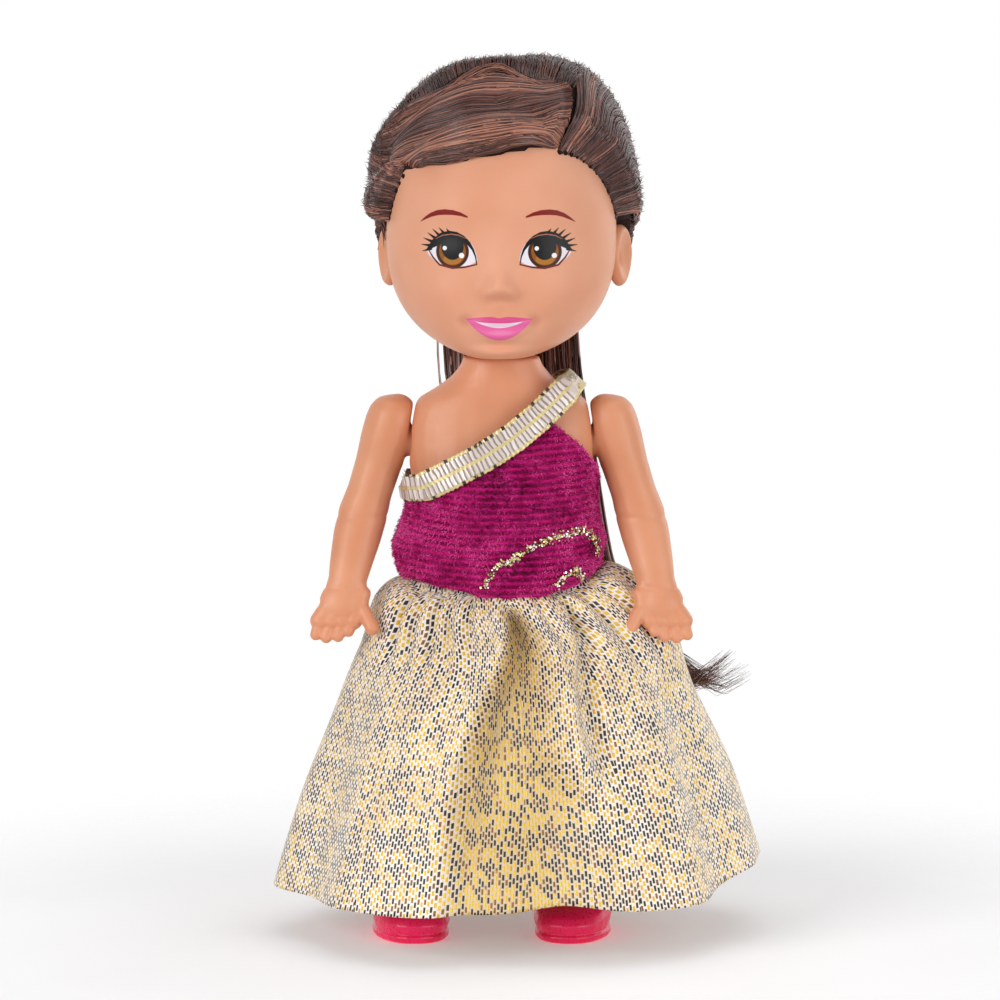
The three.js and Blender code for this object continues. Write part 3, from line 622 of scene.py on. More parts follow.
def face_recipe(at):
    inputs = {"Vector": at, "Location": tuple(-AXIS / MM), "Scale": (1 / MM,) * 3}
    own = at.node("ShaderNodeMapping", None, inputs)
    own = own.node("ShaderNodeMapping", None, {"Vector": own, "Rotation": (0, 0, -HEAD_TURN)})
    x, y, z = own.parts()
    front = y.rise(-6, -5, 1, 0)
    x, lips = x - 0.2, x - 0.3
    side, bow = abs(x), lips * lips
    base = skin_recipe(at, (239, 174, 142), (233, 164, 130))

    brow = arc(abs(x + 0.2), z, BROW, BROW_WIDTHS)
    opening = eye_opening(side, z)
    iris = disc(side, z, IRIS, 2.2, 2.2).most(opening)
    amber = disc(side, z, IRIS, 1.78, 1.78).most(opening)
    glow = disc(side, z, (IRIS[0], 92.0), 1.2, 0.7).most(opening)
    pupil = disc(side, z, (IRIS[0], 93.7), 1.5, 1.78)
    shade = disc(side, z, (6.3, 94.9), 2.7, 0.9)
    lid = arc(side, z, UPPER_LID, UPPER_WIDTHS)
    crease = arc(side, z, CREASE, [0.02, 0.06, 0.07, 0.06, 0.02])
    under = arc(side, z, LOWER_LID, [0.09, 0.13, 0.13, 0.13, 0.12, 0.07])
    lashes = stroke(side, z, *LASHES[0], 0.2, 0.04)
    for root, tip in LASHES[1:]:
        lashes = lashes.least(stroke(side, z, root, tip, 0.2, 0.04))
    glints = disc(x, z, (-7.1, 93.45), 0.28, 0.28).least(disc(x, z, (5.02, 93.45), 0.28, 0.28))
    glints = glints.least(disc(x, z, (-4.85, 92.5), 0.35, 0.35))
    glints = glints.least(disc(x, z, (7.3, 92.5), 0.33, 0.33))

    dip = bow.math("EXPONENT", bow * -2) * 0.2
    bottom_edge = (MOUTH_LOW - z + bow * MOUTH_BOW) * 0.8
    mouth = bottom_edge.most(z - MOUTH_HIGH + bow * 0.018 + dip)
    teeth = ((82.97 - z + bow * 0.088) * 0.9).most(z - 83.6 - bow * 0.022)
    lower = bottom_edge.most(z - 83.58 - bow * 0.03)
    # painted highlight: a pale band across the lower lip
    lip_highlight = disc(lips, z, (0.1, 82.35), 1.5, 0.3)
    # painted shade: the mouth's corners are darkened as if shade fell there
    mouth_corner_shade = disc(abs(lips), z, (4.5, 84), 0.8, 0.7)

    dark = colour(2, 2, 5)
    pupil = shade.least(pupil).most(opening)
    layers = ((brow, colour(134, 24, 24)), (opening, colour(244, 240, 248)), (iris, colour(66, 28, 14)),
              (amber, colour(152, 90, 26)), (glow, colour(182, 120, 44)), (pupil, dark),
              (under, colour(112, 26, 22)), (lid, dark), (crease, colour(188, 118, 96)), (lashes, dark),
              (mouth, colour(226, 88, 150)), (lower, colour(238, 110, 170)), (teeth, colour(248, 240, 250)),
              (glints, colour(255, 255, 255)))
    paint = base["Base_Color"]
    blush = disc(side, z, (9, 87.2), 3.6, 2.8).rise(-2.6, 1.2, 0.1, 0)
    paint = (blush * front).blend(paint, colour(226, 128, 104))
    # painted shade in the mouth's corners
    paint = (inside(mouth_corner_shade, 0.6) * front * 0.3).blend(paint, colour(190, 92, 76))
    for distance, tint in layers:
        paint = (inside(distance) * front).blend(paint, tint)
    # painted highlight on the lower lip
    paint = (inside(lip_highlight, 0.2) * front * 0.5).blend(paint, colour(250, 160, 200))
    gloss = inside(mouth) * front
    black = inside(pupil.least(lid).least(lashes)) * front
    rough = gloss.rise(0, 1, 0.42, 0.27) - black * 0.08
    return {"Base_Color": paint, "Roughness": rough, "Normal": base["Normal"]}


painted_face = finish("painted face", face_recipe, **{**SOFT_VINYL, "Specular_IOR_Level": 0.2})
piece("head", head_mesh, "head", painted_face, ["head_shell"])
print("face", len(painted_face.node_tree.nodes), "nodes")


# %% [markdown]
# ## Ears
# An ear is a small shell: a flattened ball, hollowed in front with a rolled rim. It stands half
# sunk in the side of the head.

# %% Ears
def ear(side):
    form = bmesh.new()
    bmesh.ops.create_uvsphere(form, u_segments=48, v_segments=32, radius=1)
    for vertex in form.verts:
        x, y, z = vertex.co
        rim = math.hypot(y, z)
        outer = 1 if x > 0 else 0
        hollow = 0.62 * math.exp(-((rim - 0.1) / 0.5) ** 2) * outer
        ridge = 0.14 * math.exp(-((rim - 0.86) / 0.16) ** 2) * outer
        canal = 0.3 * math.exp(-(((y + 0.3) ** 2 + (z + 0.12) ** 2) / 0.05)) * outer
        deep = (x * 0.75 - hollow * 0.8 + ridge - canal) * 1.9
        local = Vector((deep, y * 2.7 * (1 - 0.28 * max(0, -z)), z * 4.15))
        turned = Matrix.Rotation(math.radians(-24), 3, "Z") @ local
        vertex.co = Vector((side * (15.4 + 0.3 * side + turned.x), 2.2 + turned.y, 91.8 + turned.z))
    bmesh.ops.recalc_face_normals(form, faces=form.faces)
    for vertex, spot in zip(form.verts, on_head([v.co for v in form.verts])):
        vertex.co = spot
    return mesh_of(form, "ear")


for side, name in ((1, "ear_left"), (-1, "ear_right")):
    piece(name, ear(side), "head", skin)
print("ears", 2)


# %% [markdown]
# ## Hair
# Rooted hair is thousands of fibres, but the eye reads it as locks. Each fibre here is a thin
# tapering strand, a lock is a group of strands, and a cap below them, painted dark as the shade
# inside the hair, fills the depth. A strand is a poly curve with a bevel, because one curve object
# holds a thousand of them and turns into a mesh at once. Each point keeps its strand's shade and how
# far along the strand it lies, so that one finish gives roots darkened as painted shade, a painted
# band of sheen and lighter single hairs.

# %% Hair finishes
def strand_recipe(at):
    shade, run = measured(at, "shade"), measured(at, "run")
    dark, mid, light = colour(32, 15, 14), colour(90, 48, 40), colour(194, 132, 108)
    tint = shade.rise(0.05, 0.5).blend(dark, mid)
    # painted sheen: band lights a stretch along each strand, and light is the painted highlight colour
    band = run.rise(0.14, 0.3) * run.rise(0.42, 0.52, 1, 0.35).most(run.rise(0.5, 0.62)) * 0.75 + 0.25
    tint = (shade.rise(0.4, 1) * band).blend(tint, light)
    # painted shade: the first part of each strand is darkened at its root
    tint = run.rise(0.0, 0.07).blend(dark, tint)
    return {"Base_Color": tint, "Roughness": shade.rise(0, 1, 0.26, 0.34)}


# painted shade: the cap is coloured dark as the shaded depth inside the hair
def cap_shade_recipe(at):
    streaks = at.stretched(1, 1, 0.15).noise(1500, 3)
    return {"Base_Color": streaks.rise(0.3, 0.75).blend(colour(28, 16, 14), colour(58, 36, 31)),
            "Roughness": streaks.rise(0.3, 0.7, 0.7, 0.85), "Normal": streaks.bump(0.5, 0.0003)}


strand_finish = finish("hair strands", strand_recipe, Specular_IOR_Level=0.5)


# %% Strands from paths
def strands(name, paths, shades, thick, tip=0.25):
    """One mesh of tapering strands. Every path has the same number of points, in metres."""
    chance = np.random.default_rng(len(paths))
    curve = bpy.data.curves.new(name, "CURVE")
    curve.dimensions = "3D"
    curve.bevel_depth = thick * MM
    curve.bevel_resolution = 0
    curve.use_fill_caps = True
    count = len(paths[0])
    t = np.linspace(0, 1, count)
    taper = np.minimum(1, np.minimum(t / 0.12 + 0.5, (1 - t) / tip + 0.1))
    for path in paths:
        spline = curve.splines.new("POLY")
        spline.points.add(count - 1)
        spline.points.foreach_set("co", np.hstack([path, np.ones((count, 1))]).ravel())
        spline.points.foreach_set("radius", taper * chance.uniform(0.7, 1.25))
    holder = bpy.data.objects.new(name, curve)
    scene.collection.objects.link(holder)
    mesh = applied(holder)
    each = len(mesh.vertices) // len(paths)
    number = np.arange(len(mesh.vertices)) // each
    store(mesh, "shade", np.asarray(shades)[number])
    store(mesh, "run", (np.arange(len(mesh.vertices)) % each) / each)
    return mesh


# %% [markdown]
# ## How deep the hair is
# Hair is as deep as its fibres are many. The frame's hair masses say how deep, and the depth is
# read once, on a grid of directions from the middle of the head: a ray from inside meets the scalp
# and a ray from outside meets the hair. Softened, the grid shows no facets. A hairline, given as
# the angle from the top at which the hair starts, trims it all round.

# %% A grid of directions
HEART = np.array([0.0, 1.0, 97.0])
heart = Vector(on_head([HEART])[0])
HAIR_SHARES = {"hair_crown": 0.84, "hair_fringe": 0.9, "hair_side_left": 0.76, "hair_lock_right": 0.68}
CELL = math.radians(2)


def tree_of(mesh):
    return BVHTree.FromPolygons([v.co for v in mesh.vertices], [p.vertices for p in mesh.polygons])


def neighbours(grid):
    """The grid moved by one cell each way, joined round the head."""
    wide = np.concatenate([grid[:, -2:-1], grid, grid[:, 1:2]], 1)
    tall = np.concatenate([grid[:1], grid, grid[-1:]])
    return wide[:, :-2], wide[:, 2:], tall[:-2], tall[2:]


def softened(grid, rounds):
    """The grid averaged with its neighbours, again and again."""
    for _ in range(rounds):
        grid = grid / 2 + sum(neighbours(grid)) / 8
    return grid


def widened(grid):
    """Every cell raised to its highest neighbour."""
    return np.maximum.reduce([grid, *neighbours(grid)])


down, turn = np.meshgrid(np.arange(91) * CELL, np.arange(181) * CELL - math.pi, indexing="ij")
ways = np.stack([np.sin(down) * np.sin(turn), -np.sin(down) * np.cos(turn), np.cos(down)], -1) @ TURN.T
print("directions", down.size)

# %% Depth read from the frame
SKIN, DEPTH = np.zeros(down.shape), np.zeros(down.shape)
hair_trees = {node: tree_of(frame["nodes"][node].data) for node in HAIR_SHARES}
for cell in np.ndindex(*down.shape):
    way = Vector(ways[cell])
    SKIN[cell] = (scalp.ray_cast(heart, way)[0] - heart).length
    for node, tree in hair_trees.items():
        spot = tree.ray_cast(heart + way * 0.06, -way, 0.055)[0]
        if spot:
            deep = ((spot - heart).length - SKIN[cell]) / MM * HAIR_SHARES[node]
            DEPTH[cell] = max(DEPTH[cell], deep)
closed = -widened(-widened(DEPTH))
print("deepest hair in the frame", round(DEPTH.max(), 2), "mm")

# %% Hairline, as turns from the front and angles down from the top, in degrees
HAIRLINE = [(-180, 141), (-150, 138), (-130, 118), (-76, 112), (-68, 91), (-65.3, 84.7), (-61.7, 75.4),
            (-56, 67), (-35, 65.4), (-22.4, 64), (-8.7, 61.6), (7.3, 59.8), (28, 56), (37, 56), (45, 59),
            (53.7, 63.5), (63, 70), (72, 79), (86, 92), (90, 112), (130, 118), (150, 138), (180, 141)]
margin = np.interp(np.degrees(turn), *zip(*HAIRLINE)) - np.degrees(down)
fringe_side = smooth_step(np.degrees(turn), -60, -52) * (1 - smooth_step(np.degrees(turn), 26, 34))
COVER = softened(((closed > 0.3) & (margin > 0.3)).astype(float), 2)
DEPTH = softened(np.where(DEPTH > 0.3, DEPTH, closed), 5) * smooth_step(margin, -1, 8 - 5 * fringe_side)
print("hair covers", round(float((COVER > 0.5).mean()), 2), "of all directions")

# %% The fringe lies lower than the crown behind it, and three places are fuller or flatter
HAIR_REACH = 19
FULLER = [((10.5, 0, 15.5), 1.2, 5), ((-11.5, -2, 15), -1.1, 5), ((-18.8, 1.5, 1), -1.3, 3.2)]
own = ways @ TURN * HAIR_REACH
before = own @ [0.03, -0.91, -0.41]
top = smooth_step(own[..., 2], 3, 9) * (1 - smooth_step(own[..., 0], 5.5, 9))
hollow = 1.9 * smooth_step(before, -1.8, 0.4) * (1 - smooth_step(before, 5, 10))
crest = 0.3 * hill(before + 4, 1.5)
DEPTH -= top * (hollow - crest)
for spot, change, wide in FULLER:
    DEPTH += change * hill(np.linalg.norm(own - spot, axis=-1), wide) * (DEPTH > 1.5)
print("deepest hair", round(DEPTH.max(), 2), "mm")


# %% [markdown]
# ## Laying strands on the depth
# A strand is drawn by a few key points near the head. Only their directions count: a smooth path
# runs through them, and every point of it is set on the scalp plus the depth of the hair there. A
# strand grows out of the scalp at its root. Strands are laid in locks, and a lock crosses a list of
# lines over the head at the same share of each, as a comb would lead it.

# %% From key points to strands
def read(grid, ways):
    """The grid's values along directions."""
    own = ways @ TURN
    down = np.arccos(np.clip(own[..., 2], -1, 1)) / CELL
    turn = (np.arctan2(own[..., 0], -own[..., 1]) + math.pi) / CELL
    i, j = np.minimum(down.astype(int), 89), np.minimum(turn.astype(int), 179)
    a, b = down - i, turn - j
    return ((1 - a) * ((1 - b) * grid[i, j] + b * grid[i, j + 1])
            + a * ((1 - b) * grid[i + 1, j] + b * grid[i + 1, j + 1]))


def through(keys, count):
    """Smooth paths of points through key points."""
    keys = np.asarray(keys, float)
    last = keys.shape[-2] - 1
    t = np.linspace(0, last, count)
    low = np.minimum(t.astype(int), last - 1)
    share = (t - low)[:, None]
    before, a = keys[..., np.maximum(low - 1, 0), :], keys[..., low, :]
    b, after = keys[..., low + 1, :], keys[..., np.minimum(low + 2, last), :]
    return 0.5 * (2 * a + (b - before) * share + (2 * before - 5 * a + 4 * b - after) * share**2
                  + (3 * a - before - 3 * b + after) * share**3)


def lay(keys, lift, count=24, root=0.15, crimp=0.0):
    """Strands through directions given by key points, lifted from the depth of the hair."""
    ways = (through(keys, count) - HEART) @ TURN.T
    ways /= np.linalg.norm(ways, axis=-1)[..., None]
    t = np.linspace(0, 1, count)
    grown = smooth_step(t, -0.02, root)
    phase = random.random((len(ways), 1)) * 6
    rise = read(DEPTH, ways) - 0.1 + lift[:, None] + crimp * np.sin(t * 95 + phase)
    reach = read(SKIN, ways) + (0.1 + rise * grown) * MM
    points = np.array(heart) + ways * reach[..., None]
    aside = np.cross(ways, np.gradient(points, axis=1))
    aside /= np.linalg.norm(aside, axis=-1)[..., None]
    return points + aside * (crimp * np.cos(t * 80 + phase) * grown * MM)[..., None]


def on_line(line, share):
    """Points at shares of the way along a line of points."""
    line = np.asarray(line, float)
    at = np.clip(share, 0, 1) * (len(line) - 1)
    return np.stack([np.interp(at, np.arange(len(line)), line[:, k]) for k in range(3)], -1)


# %% Locks
WISPS = 7


def locks(lines, number, each, spread, raised, pinch=1.0, crimp=0.0, root=0.15, count=24):
    """Locks of strands that cross every line at the same share. A pinched lock is narrow at its root."""
    lock = np.repeat(np.arange(number), each)
    off = random.uniform(-1, 1, len(lock))
    middle = (lock + 0.5 + random.normal(0, 0.1, number)[lock]) / number
    shares = [middle + off * spread * (pinch if i == 0 else 1) / number for i in range(len(lines))]
    keys = np.stack([on_line(line, share) for line, share in zip(lines, shares)], 1)
    keys += random.normal(0, 0.1, keys.shape)
    wisp = (np.clip(middle + off * spread / number, 0, 0.999) * number * WISPS).astype(int)
    lift = raised * (1 - off * off) - 0.3 + random.normal(0, 0.07, len(lock))
    lift += random.uniform(-0.12, 0.12, number * WISPS)[wisp]
    tone = random.uniform(0.6, 1.1, number)[lock] * random.uniform(0.2, 1.2, number * WISPS)[wisp]
    tone *= random.uniform(0.7, 1.1, len(lock))
    # painted shade: strands towards a lock's edges get a lower shade, as shade between the locks
    return lay(keys, lift, count, root, crimp), np.clip((1 - 0.5 * off * off) * tone, 0, 1)


def strand_piece(name, paths, shades, thick, stands_for=(), tip=0.25):
    piece(name, strands(name, paths, shades, thick, tip), "head", strand_finish, stands_for)
    print(name, len(paths), "strands")


# %% [markdown]
# ## Fringe
# The fringe is rooted along the parting and combed flat across the forehead to the right, with a
# few loose hairs over it. Its lines run from the hairline up to the crown, the first along the
# parting and the last over the right temple. The low locks catch more light, so they are lighter.

# %% Fringe: swept from the parting across the forehead
SWEEP = [
    [(7.9, -12.3, 107.2), (8.9, -11.6, 107.7), (9.2, -9.9, 109.6),
     (9.2, -7.8, 111.4), (8.9, -6.4, 112.8), (8, -5.4, 114)],
    [(4.6, -13.5, 107), (4.8, -13.2, 108.3), (4.8, -12, 110.4),
     (4.7, -10.3, 112.4), (4.4, -9, 113.6), (3.8, -7.4, 114.8)],
    [(-0.5, -14.7, 106.1), (-0.8, -14.3, 107.6), (-1, -13, 110),
     (-1.1, -11, 112.4), (-1.1, -9.4, 114), (-1, -7.2, 115.6)],
    [(-6.2, -13.7, 105), (-6.7, -13.2, 106.5), (-7, -12, 108.6),
     (-7.1, -10.3, 110.8), (-7, -8.8, 112.5), (-6.7, -6.8, 114.2)],
    [(-10.6, -10.8, 104.4), (-11.5, -9.9, 105.5), (-12, -8.8, 107.1),
     (-12.2, -7.6, 108.8), (-12.1, -6.3, 110.4), (-11.7, -5, 111.9)],
    [(-13.2, -7.9, 103.5), (-14.2, -6.5, 104.4), (-14.9, -5.2, 105.6),
     (-15.2, -4.1, 106.8), (-15.3, -3.1, 107.8), (-15.2, -2.2, 108.7)],
    [(-15.3, -2, 102.5), (-16.1, -0.6, 103.1), (-16.5, 0.5, 103.8),
     (-16.6, 1.4, 104.5), (-16.6, 2.4, 105.3), (-16.4, 3.4, 106)],
]
paths, shades = locks(SWEEP, 10, 96, 1.05, 0.3, root=0.05)
shades = (shades * np.linspace(1.6, 0.95, len(shades))).clip(0, 1)
strand_piece("hair_strands_fringe", paths, shades, 0.1, ["hair_fringe"])

# %% Thin loose strands that arc over the top of the fringe
ARC = [(8.9, -7.4, 113.1), (5, -8, 114.8), (0, -6.8, 116), (-4, -7.2, 115.2), (-8, -7.4, 113.2),
       (-12, -5.4, 111.2), (-15.4, -2.6, 107)]
LOOSE = 18
keys = np.array(ARC) + random.normal(0, 0.25, (LOOSE, 7, 3))
keys += random.normal(0, 0.5, (LOOSE, 1, 3)) * [0, 1, 0.3]
paths = lay(keys, random.uniform(-0.1, 0.3, LOOSE), 26)
strand_piece("hair_strands_loose", paths, random.uniform(0.5, 0.85, LOOSE), 0.065)

# %% [markdown]
# ## Puffed side and rolled lock
# Left of the parting the hair rises from the hairline in combed locks and runs back to the band. On
# the right a lock is rolled outwards over the ear. Both start pinched together in the root holes,
# so a lock is narrow there, and both end in the knot behind the head.

# %% Puffed side on the left of the parting
KNOT = np.array([-0.25, 21, 96.6])
PUFF_LOCKS = 11
PUFF = [
    [(8.2, -12.3, 106.5), (9.5, -11.1, 106.2), (10.8, -9.7, 105.5), (12.2, -8, 104.2),
     (13.6, -6, 102.3), (14.8, -3.9, 99.8), (15.5, -1.6, 97)],
    [(9.7, -10.4, 110), (11.2, -9.5, 109.2), (12.6, -8.4, 107.8), (13.9, -7, 105.9),
     (15, -5.1, 103.5), (15.8, -2.9, 100.8), (16.2, -0.5, 97.5)],
    [(9.6, -5, 114.2), (11.5, -4.4, 112.6), (13.1, -3.6, 110.6), (14.6, -2.5, 107.8),
     (15.8, -1.2, 104.7), (16.4, 0.2, 101.2), (16.4, 1.6, 97.6)],
    [(7.5, 9, 114), (10.5, 9.5, 111.3), (12.8, 9.8, 108), (14.3, 10, 104.6),
     (15, 10.3, 101.5), (15, 10.5, 98.5), (14, 11, 95)],
    [KNOT + [s, 0, 1.5 - s * 0.5] for s in (-1, 0, 1, 2, 3, 3.3, 3.5)],
]
paths, shades = locks(PUFF, PUFF_LOCKS, 74, 1.0, 0.5, 0.5, 0.02, 0.05)
strand_piece("hair_strands_side", paths, shades, 0.11, ["hair_side_left"])
plugs = [on_line(PUFF[0], (i + 0.5) / PUFF_LOCKS) for i in range(PUFF_LOCKS)]

# %% Rolled lock over the right ear
ROLL_LOCKS = 7
ROLL = [
    [(-12.7, -8, 103.3), (-13.8, -6.6, 101), (-14.4, -5.6, 98.6), (-14.8, -4.7, 96.7)],
    [(-15.2, -4.6, 104.3), (-16, -3.7, 101.7), (-16.2, -3, 99.2), (-16, -2.5, 97)],
    [(-16.5, -0.6, 105.2), (-17.2, 0, 102.5), (-17.3, 0.6, 99.8), (-17, 1.2, 97.3)],
    [(-15, 9.5, 105), (-15.3, 10, 102), (-15.2, 10.5, 99.2), (-14.2, 11, 95.4)],
    [KNOT + [s, 0, 1.5 + s * 0.5] for s in (0, -1, -2, -3)],
]
paths, shades = locks(ROLL, ROLL_LOCKS, 84, 1.0, 0.45, 0.5, 0.06, 0.05)
strand_piece("hair_strands_lock", paths, shades, 0.11, ["hair_lock_right"])
plugs += [on_line(ROLL[0], (i + 0.5) / ROLL_LOCKS) for i in range(ROLL_LOCKS)]

# %% A wisp that hangs from the lock at the ear
STRAYS = 44
WISP = [(-16.4, 0.2, 97.4), (-16.6, 1.2, 96.2), (-16.3, 2, 94.6), (-15.9, 2.6, 93)]
keys = np.array(WISP) + random.normal(0, 0.3, (STRAYS, 1, 3)) + random.normal(0, 0.12, (STRAYS, 4, 3))
paths = lay(keys, random.uniform(-0.1, 0.7, STRAYS), 16, 0.5)
strand_piece("hair_wisp", paths, random.uniform(0.2, 0.8, STRAYS), 0.1, tip=0.6)


# %% [markdown]
# ## Crown and nape
# Behind the fringe the hair rises, runs over the top and gathers at the band, and from the nape it
# is combed up to it. Real crimped fibre fuzzes there, so the strands waver a little, and short
# single hairs stand out of the outline.

# %% Crown: over the top to the band
def arch(wide, y, low, high, start, end):
    """Twelve points on an arch over the head, from the right to the left."""
    angles = np.linspace(start, end, 12)
    return [np.array([wide * math.sin(a), y, low + high * math.cos(a)]) for a in angles]


ARCH_FROM, ARCH_SPAN = -1.32, 2.08
BEHIND_SWEEP = [(-16.6, -0.5, 104.3), (-15.4, -2.2, 107), (-13.7, -3.6, 109.4), (-9.6, -6.2, 112.7),
                (-6.6, -6.2, 114.6), (-3.1, -5.6, 115.9), (0, -5.4, 116.2), (3.5, -6.9, 115),
                (6.3, -7.3, 113.9), (9, -6.6, 112.9)]
RISEN = [(-17, 2, 105), (-16, 0.2, 108.2), (-14, -1, 111), (-10, -2.4, 114.8), (-7, -2, 116.6),
         (-3.4, -1.2, 118), (0, -1, 118.2), (3.5, -1.6, 117.6), (7, -2.2, 116), (10, -2.8, 113.8)]
for name, first, last in (("right", 0, 0.5), ("left", 0.5, 1)):
    shares = np.linspace(first, last, 12)
    start, end = ARCH_FROM + first * ARCH_SPAN, ARCH_FROM + last * ARCH_SPAN
    lines = [on_line(BEHIND_SWEEP, shares), on_line(RISEN, shares), arch(15.2, 8, 97, 19.6, start, end),
             arch(7, 18.6, 97.5, 8, start, end), arch(3.2, 21, 96.6, 1.2, start, end)]
    paths, shades = locks(lines, 13, 42, 0.95, 0.45, 0.8, 0.09, 0.06, 34)
    strand_piece("hair_strands_crown_" + name, paths, shades * 0.55, 0.11)

# %% Nape: up from the neck to the band
NAPE = [(-15.2, 5.6, 97.4), (-14.4, 7, 92.5), (-14.2, 7, 88), (-11.5, 10.5, 85.2), (-7, 13.5, 84.2),
        (0, 15, 84), (7, 13.5, 84.2), (11.5, 10.5, 85.2), (14.2, 7, 88), (14.4, 7, 92.5), (15.2, 5.6, 97.4)]
OVER_NAPE = [(-14.8, 9.6, 98.4), (-14.4, 10.6, 95), (-13, 12.5, 92), (-10, 15, 90), (-5.5, 17, 89),
             (0, 17.6, 88.8), (5.5, 17, 89), (10, 15, 90), (13, 12.5, 92), (14.4, 10.6, 95),
             (14.8, 9.6, 98.4)]
ends = [KNOT + [3.4 * math.sin(a), 0, 0.5 - 2 * math.cos(a)] for a in np.linspace(-1.5, 1.5, 11)]
paths, shades = locks([NAPE, OVER_NAPE, ends], 24, 46, 1.0, 0.4, 0.8, 0, 0.08, 18)
strand_piece("hair_strands_nape", paths, shades, 0.13, ["hair_crown"])

# %% Short crimped hairs that fluff the outline
TRIED = 2200
a, back = random.uniform(-1.75, 1.7, TRIED), random.uniform(-4, 6, TRIED)
start = np.stack([16 * np.sin(a), back - 1.5 * np.abs(a), 97 + 18.5 * np.cos(a)], 1)
lean = start + random.normal(0, 0.7, (TRIED, 3)) + [0, 1.2, 0]
keys = np.stack([start, (start + lean) / 2 + random.normal(0, 0.15, (TRIED, 3)), lean], 1)
root_ways = (start - HEART) @ TURN.T
root_ways /= np.linalg.norm(root_ways, axis=1)[:, None]
keys = keys[(read(COVER, root_ways) > 0.9) & (read(DEPTH, root_ways) > 1)]
fluff = len(keys)
hairs = lay(keys, np.full(fluff, -0.2), 8, 0.01)
out = hairs - np.array(heart)
out /= np.linalg.norm(out, axis=-1)[..., None]
hairs += out * (np.linspace(-0.3, 1, 8) * random.uniform(0.25, 1.15, (fluff, 1)) * MM)[..., None]
strand_piece("hair_fluff", hairs, random.uniform(0.05, 0.6, fluff), 0.07, tip=0.6)

# %% [markdown]
# ## Cap and root holes
# Between strands the eye looks into the depth of the hair, which is in shade, never at the scalp. A
# smooth cap does that, painted dark as that shade: it lies a little below the strands and dips under
# the skin beyond the hairline. Rooted hair comes out of a row of punched holes, and a plug in the
# same painted shade closes each of them.

# %% Cap painted dark as the shade under the strands
CAP_BELOW = 0.75
form = bmesh.new()
bmesh.ops.create_uvsphere(form, u_segments=180, v_segments=120, radius=1)
ways = np.array([v.co for v in form.verts]) @ TURN.T
cover, depth = read(COVER, ways), read(DEPTH, ways)
under = (cover - 0.5) * 1.6
height = np.where(cover > 0.5, smooth_step(cover, 0.5, 1) * (depth - CAP_BELOW).clip(0.12), under)
for vertex, spot in zip(form.verts, np.array(heart) + ways * (read(SKIN, ways) + height * MM)[:, None]):
    vertex.co = spot
bmesh.ops.recalc_face_normals(form, faces=form.faces)
cap_shade_finish = finish("painted shade under the strands", cap_shade_recipe, Specular_IOR_Level=0.1)
cap_mesh = mesh_of(form, "hair_cap")
piece("hair_cap", cap_mesh, "head", cap_shade_finish, list(HAIR_SHARES))
print("cap", len(cap_mesh.polygons), "faces")

# %% Root plugs along the hairline
form = bmesh.new()
bmesh.ops.create_icosphere(form, subdivisions=2, radius=0.32 * MM)
ways = (np.array(plugs) - HEART) @ TURN.T
ways /= np.linalg.norm(ways, axis=1)[:, None]
spots = np.array(heart) + ways * read(SKIN, ways)[:, None]
mesh = repeated(form, spots, turns_to(ways), random.uniform(0.8, 1.2, len(plugs)), np.zeros(len(plugs)))
piece("hair_root_plugs", mesh, "head", cap_shade_finish)
print("plugs", len(plugs))

# %% [markdown]
# ## The tail
# The tail leaves the band at the back of the head, lies down the back and swings round to the
# left of the skirt, where its tips flick out. It is one bundle of strands round the path that the
# frame's solid tail follows.

# %% Tail
TAIL = [(0.4, 20.8, 101.2), (0.7, 23.2, 99.2), (0.8, 24.1, 96.4), (0.8, 23.2, 92.6), (0.7, 21.4, 88.6),
        (0.6, 18.4, 84), (0.8, 15, 79.6), (1.2, 12.2, 73.6), (3, 11.1, 66), (5.4, 11.4, 60),
        (8, 13.6, 53.6), (10.6, 17.4, 47), (13.6, 20.4, 41), (18, 21.6, 36), (23.4, 20.4, 32.6),
        (28.4, 17.6, 31.8), (32.8, 15.2, 35.4)]
TAIL_WIDTH = [(0, 2.4), (0.06, 3.2), (0.12, 4.2), (0.19, 5.6), (0.25, 7.5), (0.31, 9), (0.375, 9.6),
              (0.44, 9.7), (0.5, 9.3), (0.56, 8.2), (0.625, 6.4), (0.69, 5), (0.75, 4.4), (0.81, 3.9),
              (0.875, 3.2), (0.94, 2.7), (1, 3.2)]
TAIL_DEPTH = [(0, 0.5), (0.12, 1.3), (0.3, 1.6), (0.8, 1.4), (0.9, 1.2), (1, 1.8)]
STATIONS = 44


def tail_recipe(at):
    tip = measured(at, "run").rise(0.66, 0.92) * measured(at, "shade").rise(0, 0.4)
    made = strand_recipe(at)
    return {**made, "Base_Color": tip.blend(made["Base_Color"], colour(222, 188, 176))}


line = through(TAIL, STATIONS)
way = np.gradient(line, axis=0)
way /= np.linalg.norm(way, axis=1)[:, None]
across = np.array([1.0, 0, 0]) - way * way[:, :1]
across /= np.linalg.norm(across, axis=1)[:, None]
out = np.cross(way, across)
share = np.linspace(0, 1, STATIONS)
half_width, half_depth = np.interp(share, *zip(*TAIL_WIDTH)), np.interp(share, *zip(*TAIL_DEPTH))
LOCKS, EACH = 34, 27
count = LOCKS * EACH
lock = np.repeat(np.arange(LOCKS), EACH)
centre = random.uniform(-0.92, 0.92, (LOCKS, 2))[lock]
off = random.normal(0, 1, (count, 2)) * [0.08, 0.25]
drift = random.uniform(4, 9, LOCKS)[lock, None]
u = (centre[:, :1] + off[:, :1] + 0.07 * np.sin(share * drift + lock[:, None])).clip(-1.02, 1.02)
w = centre[:, 1:] + off[:, 1:] + 0.12 * np.sin(share * drift * 1.3 + lock[:, None])
whole = line + across * (half_width * u)[..., None] + out * (half_depth * w)[..., None]
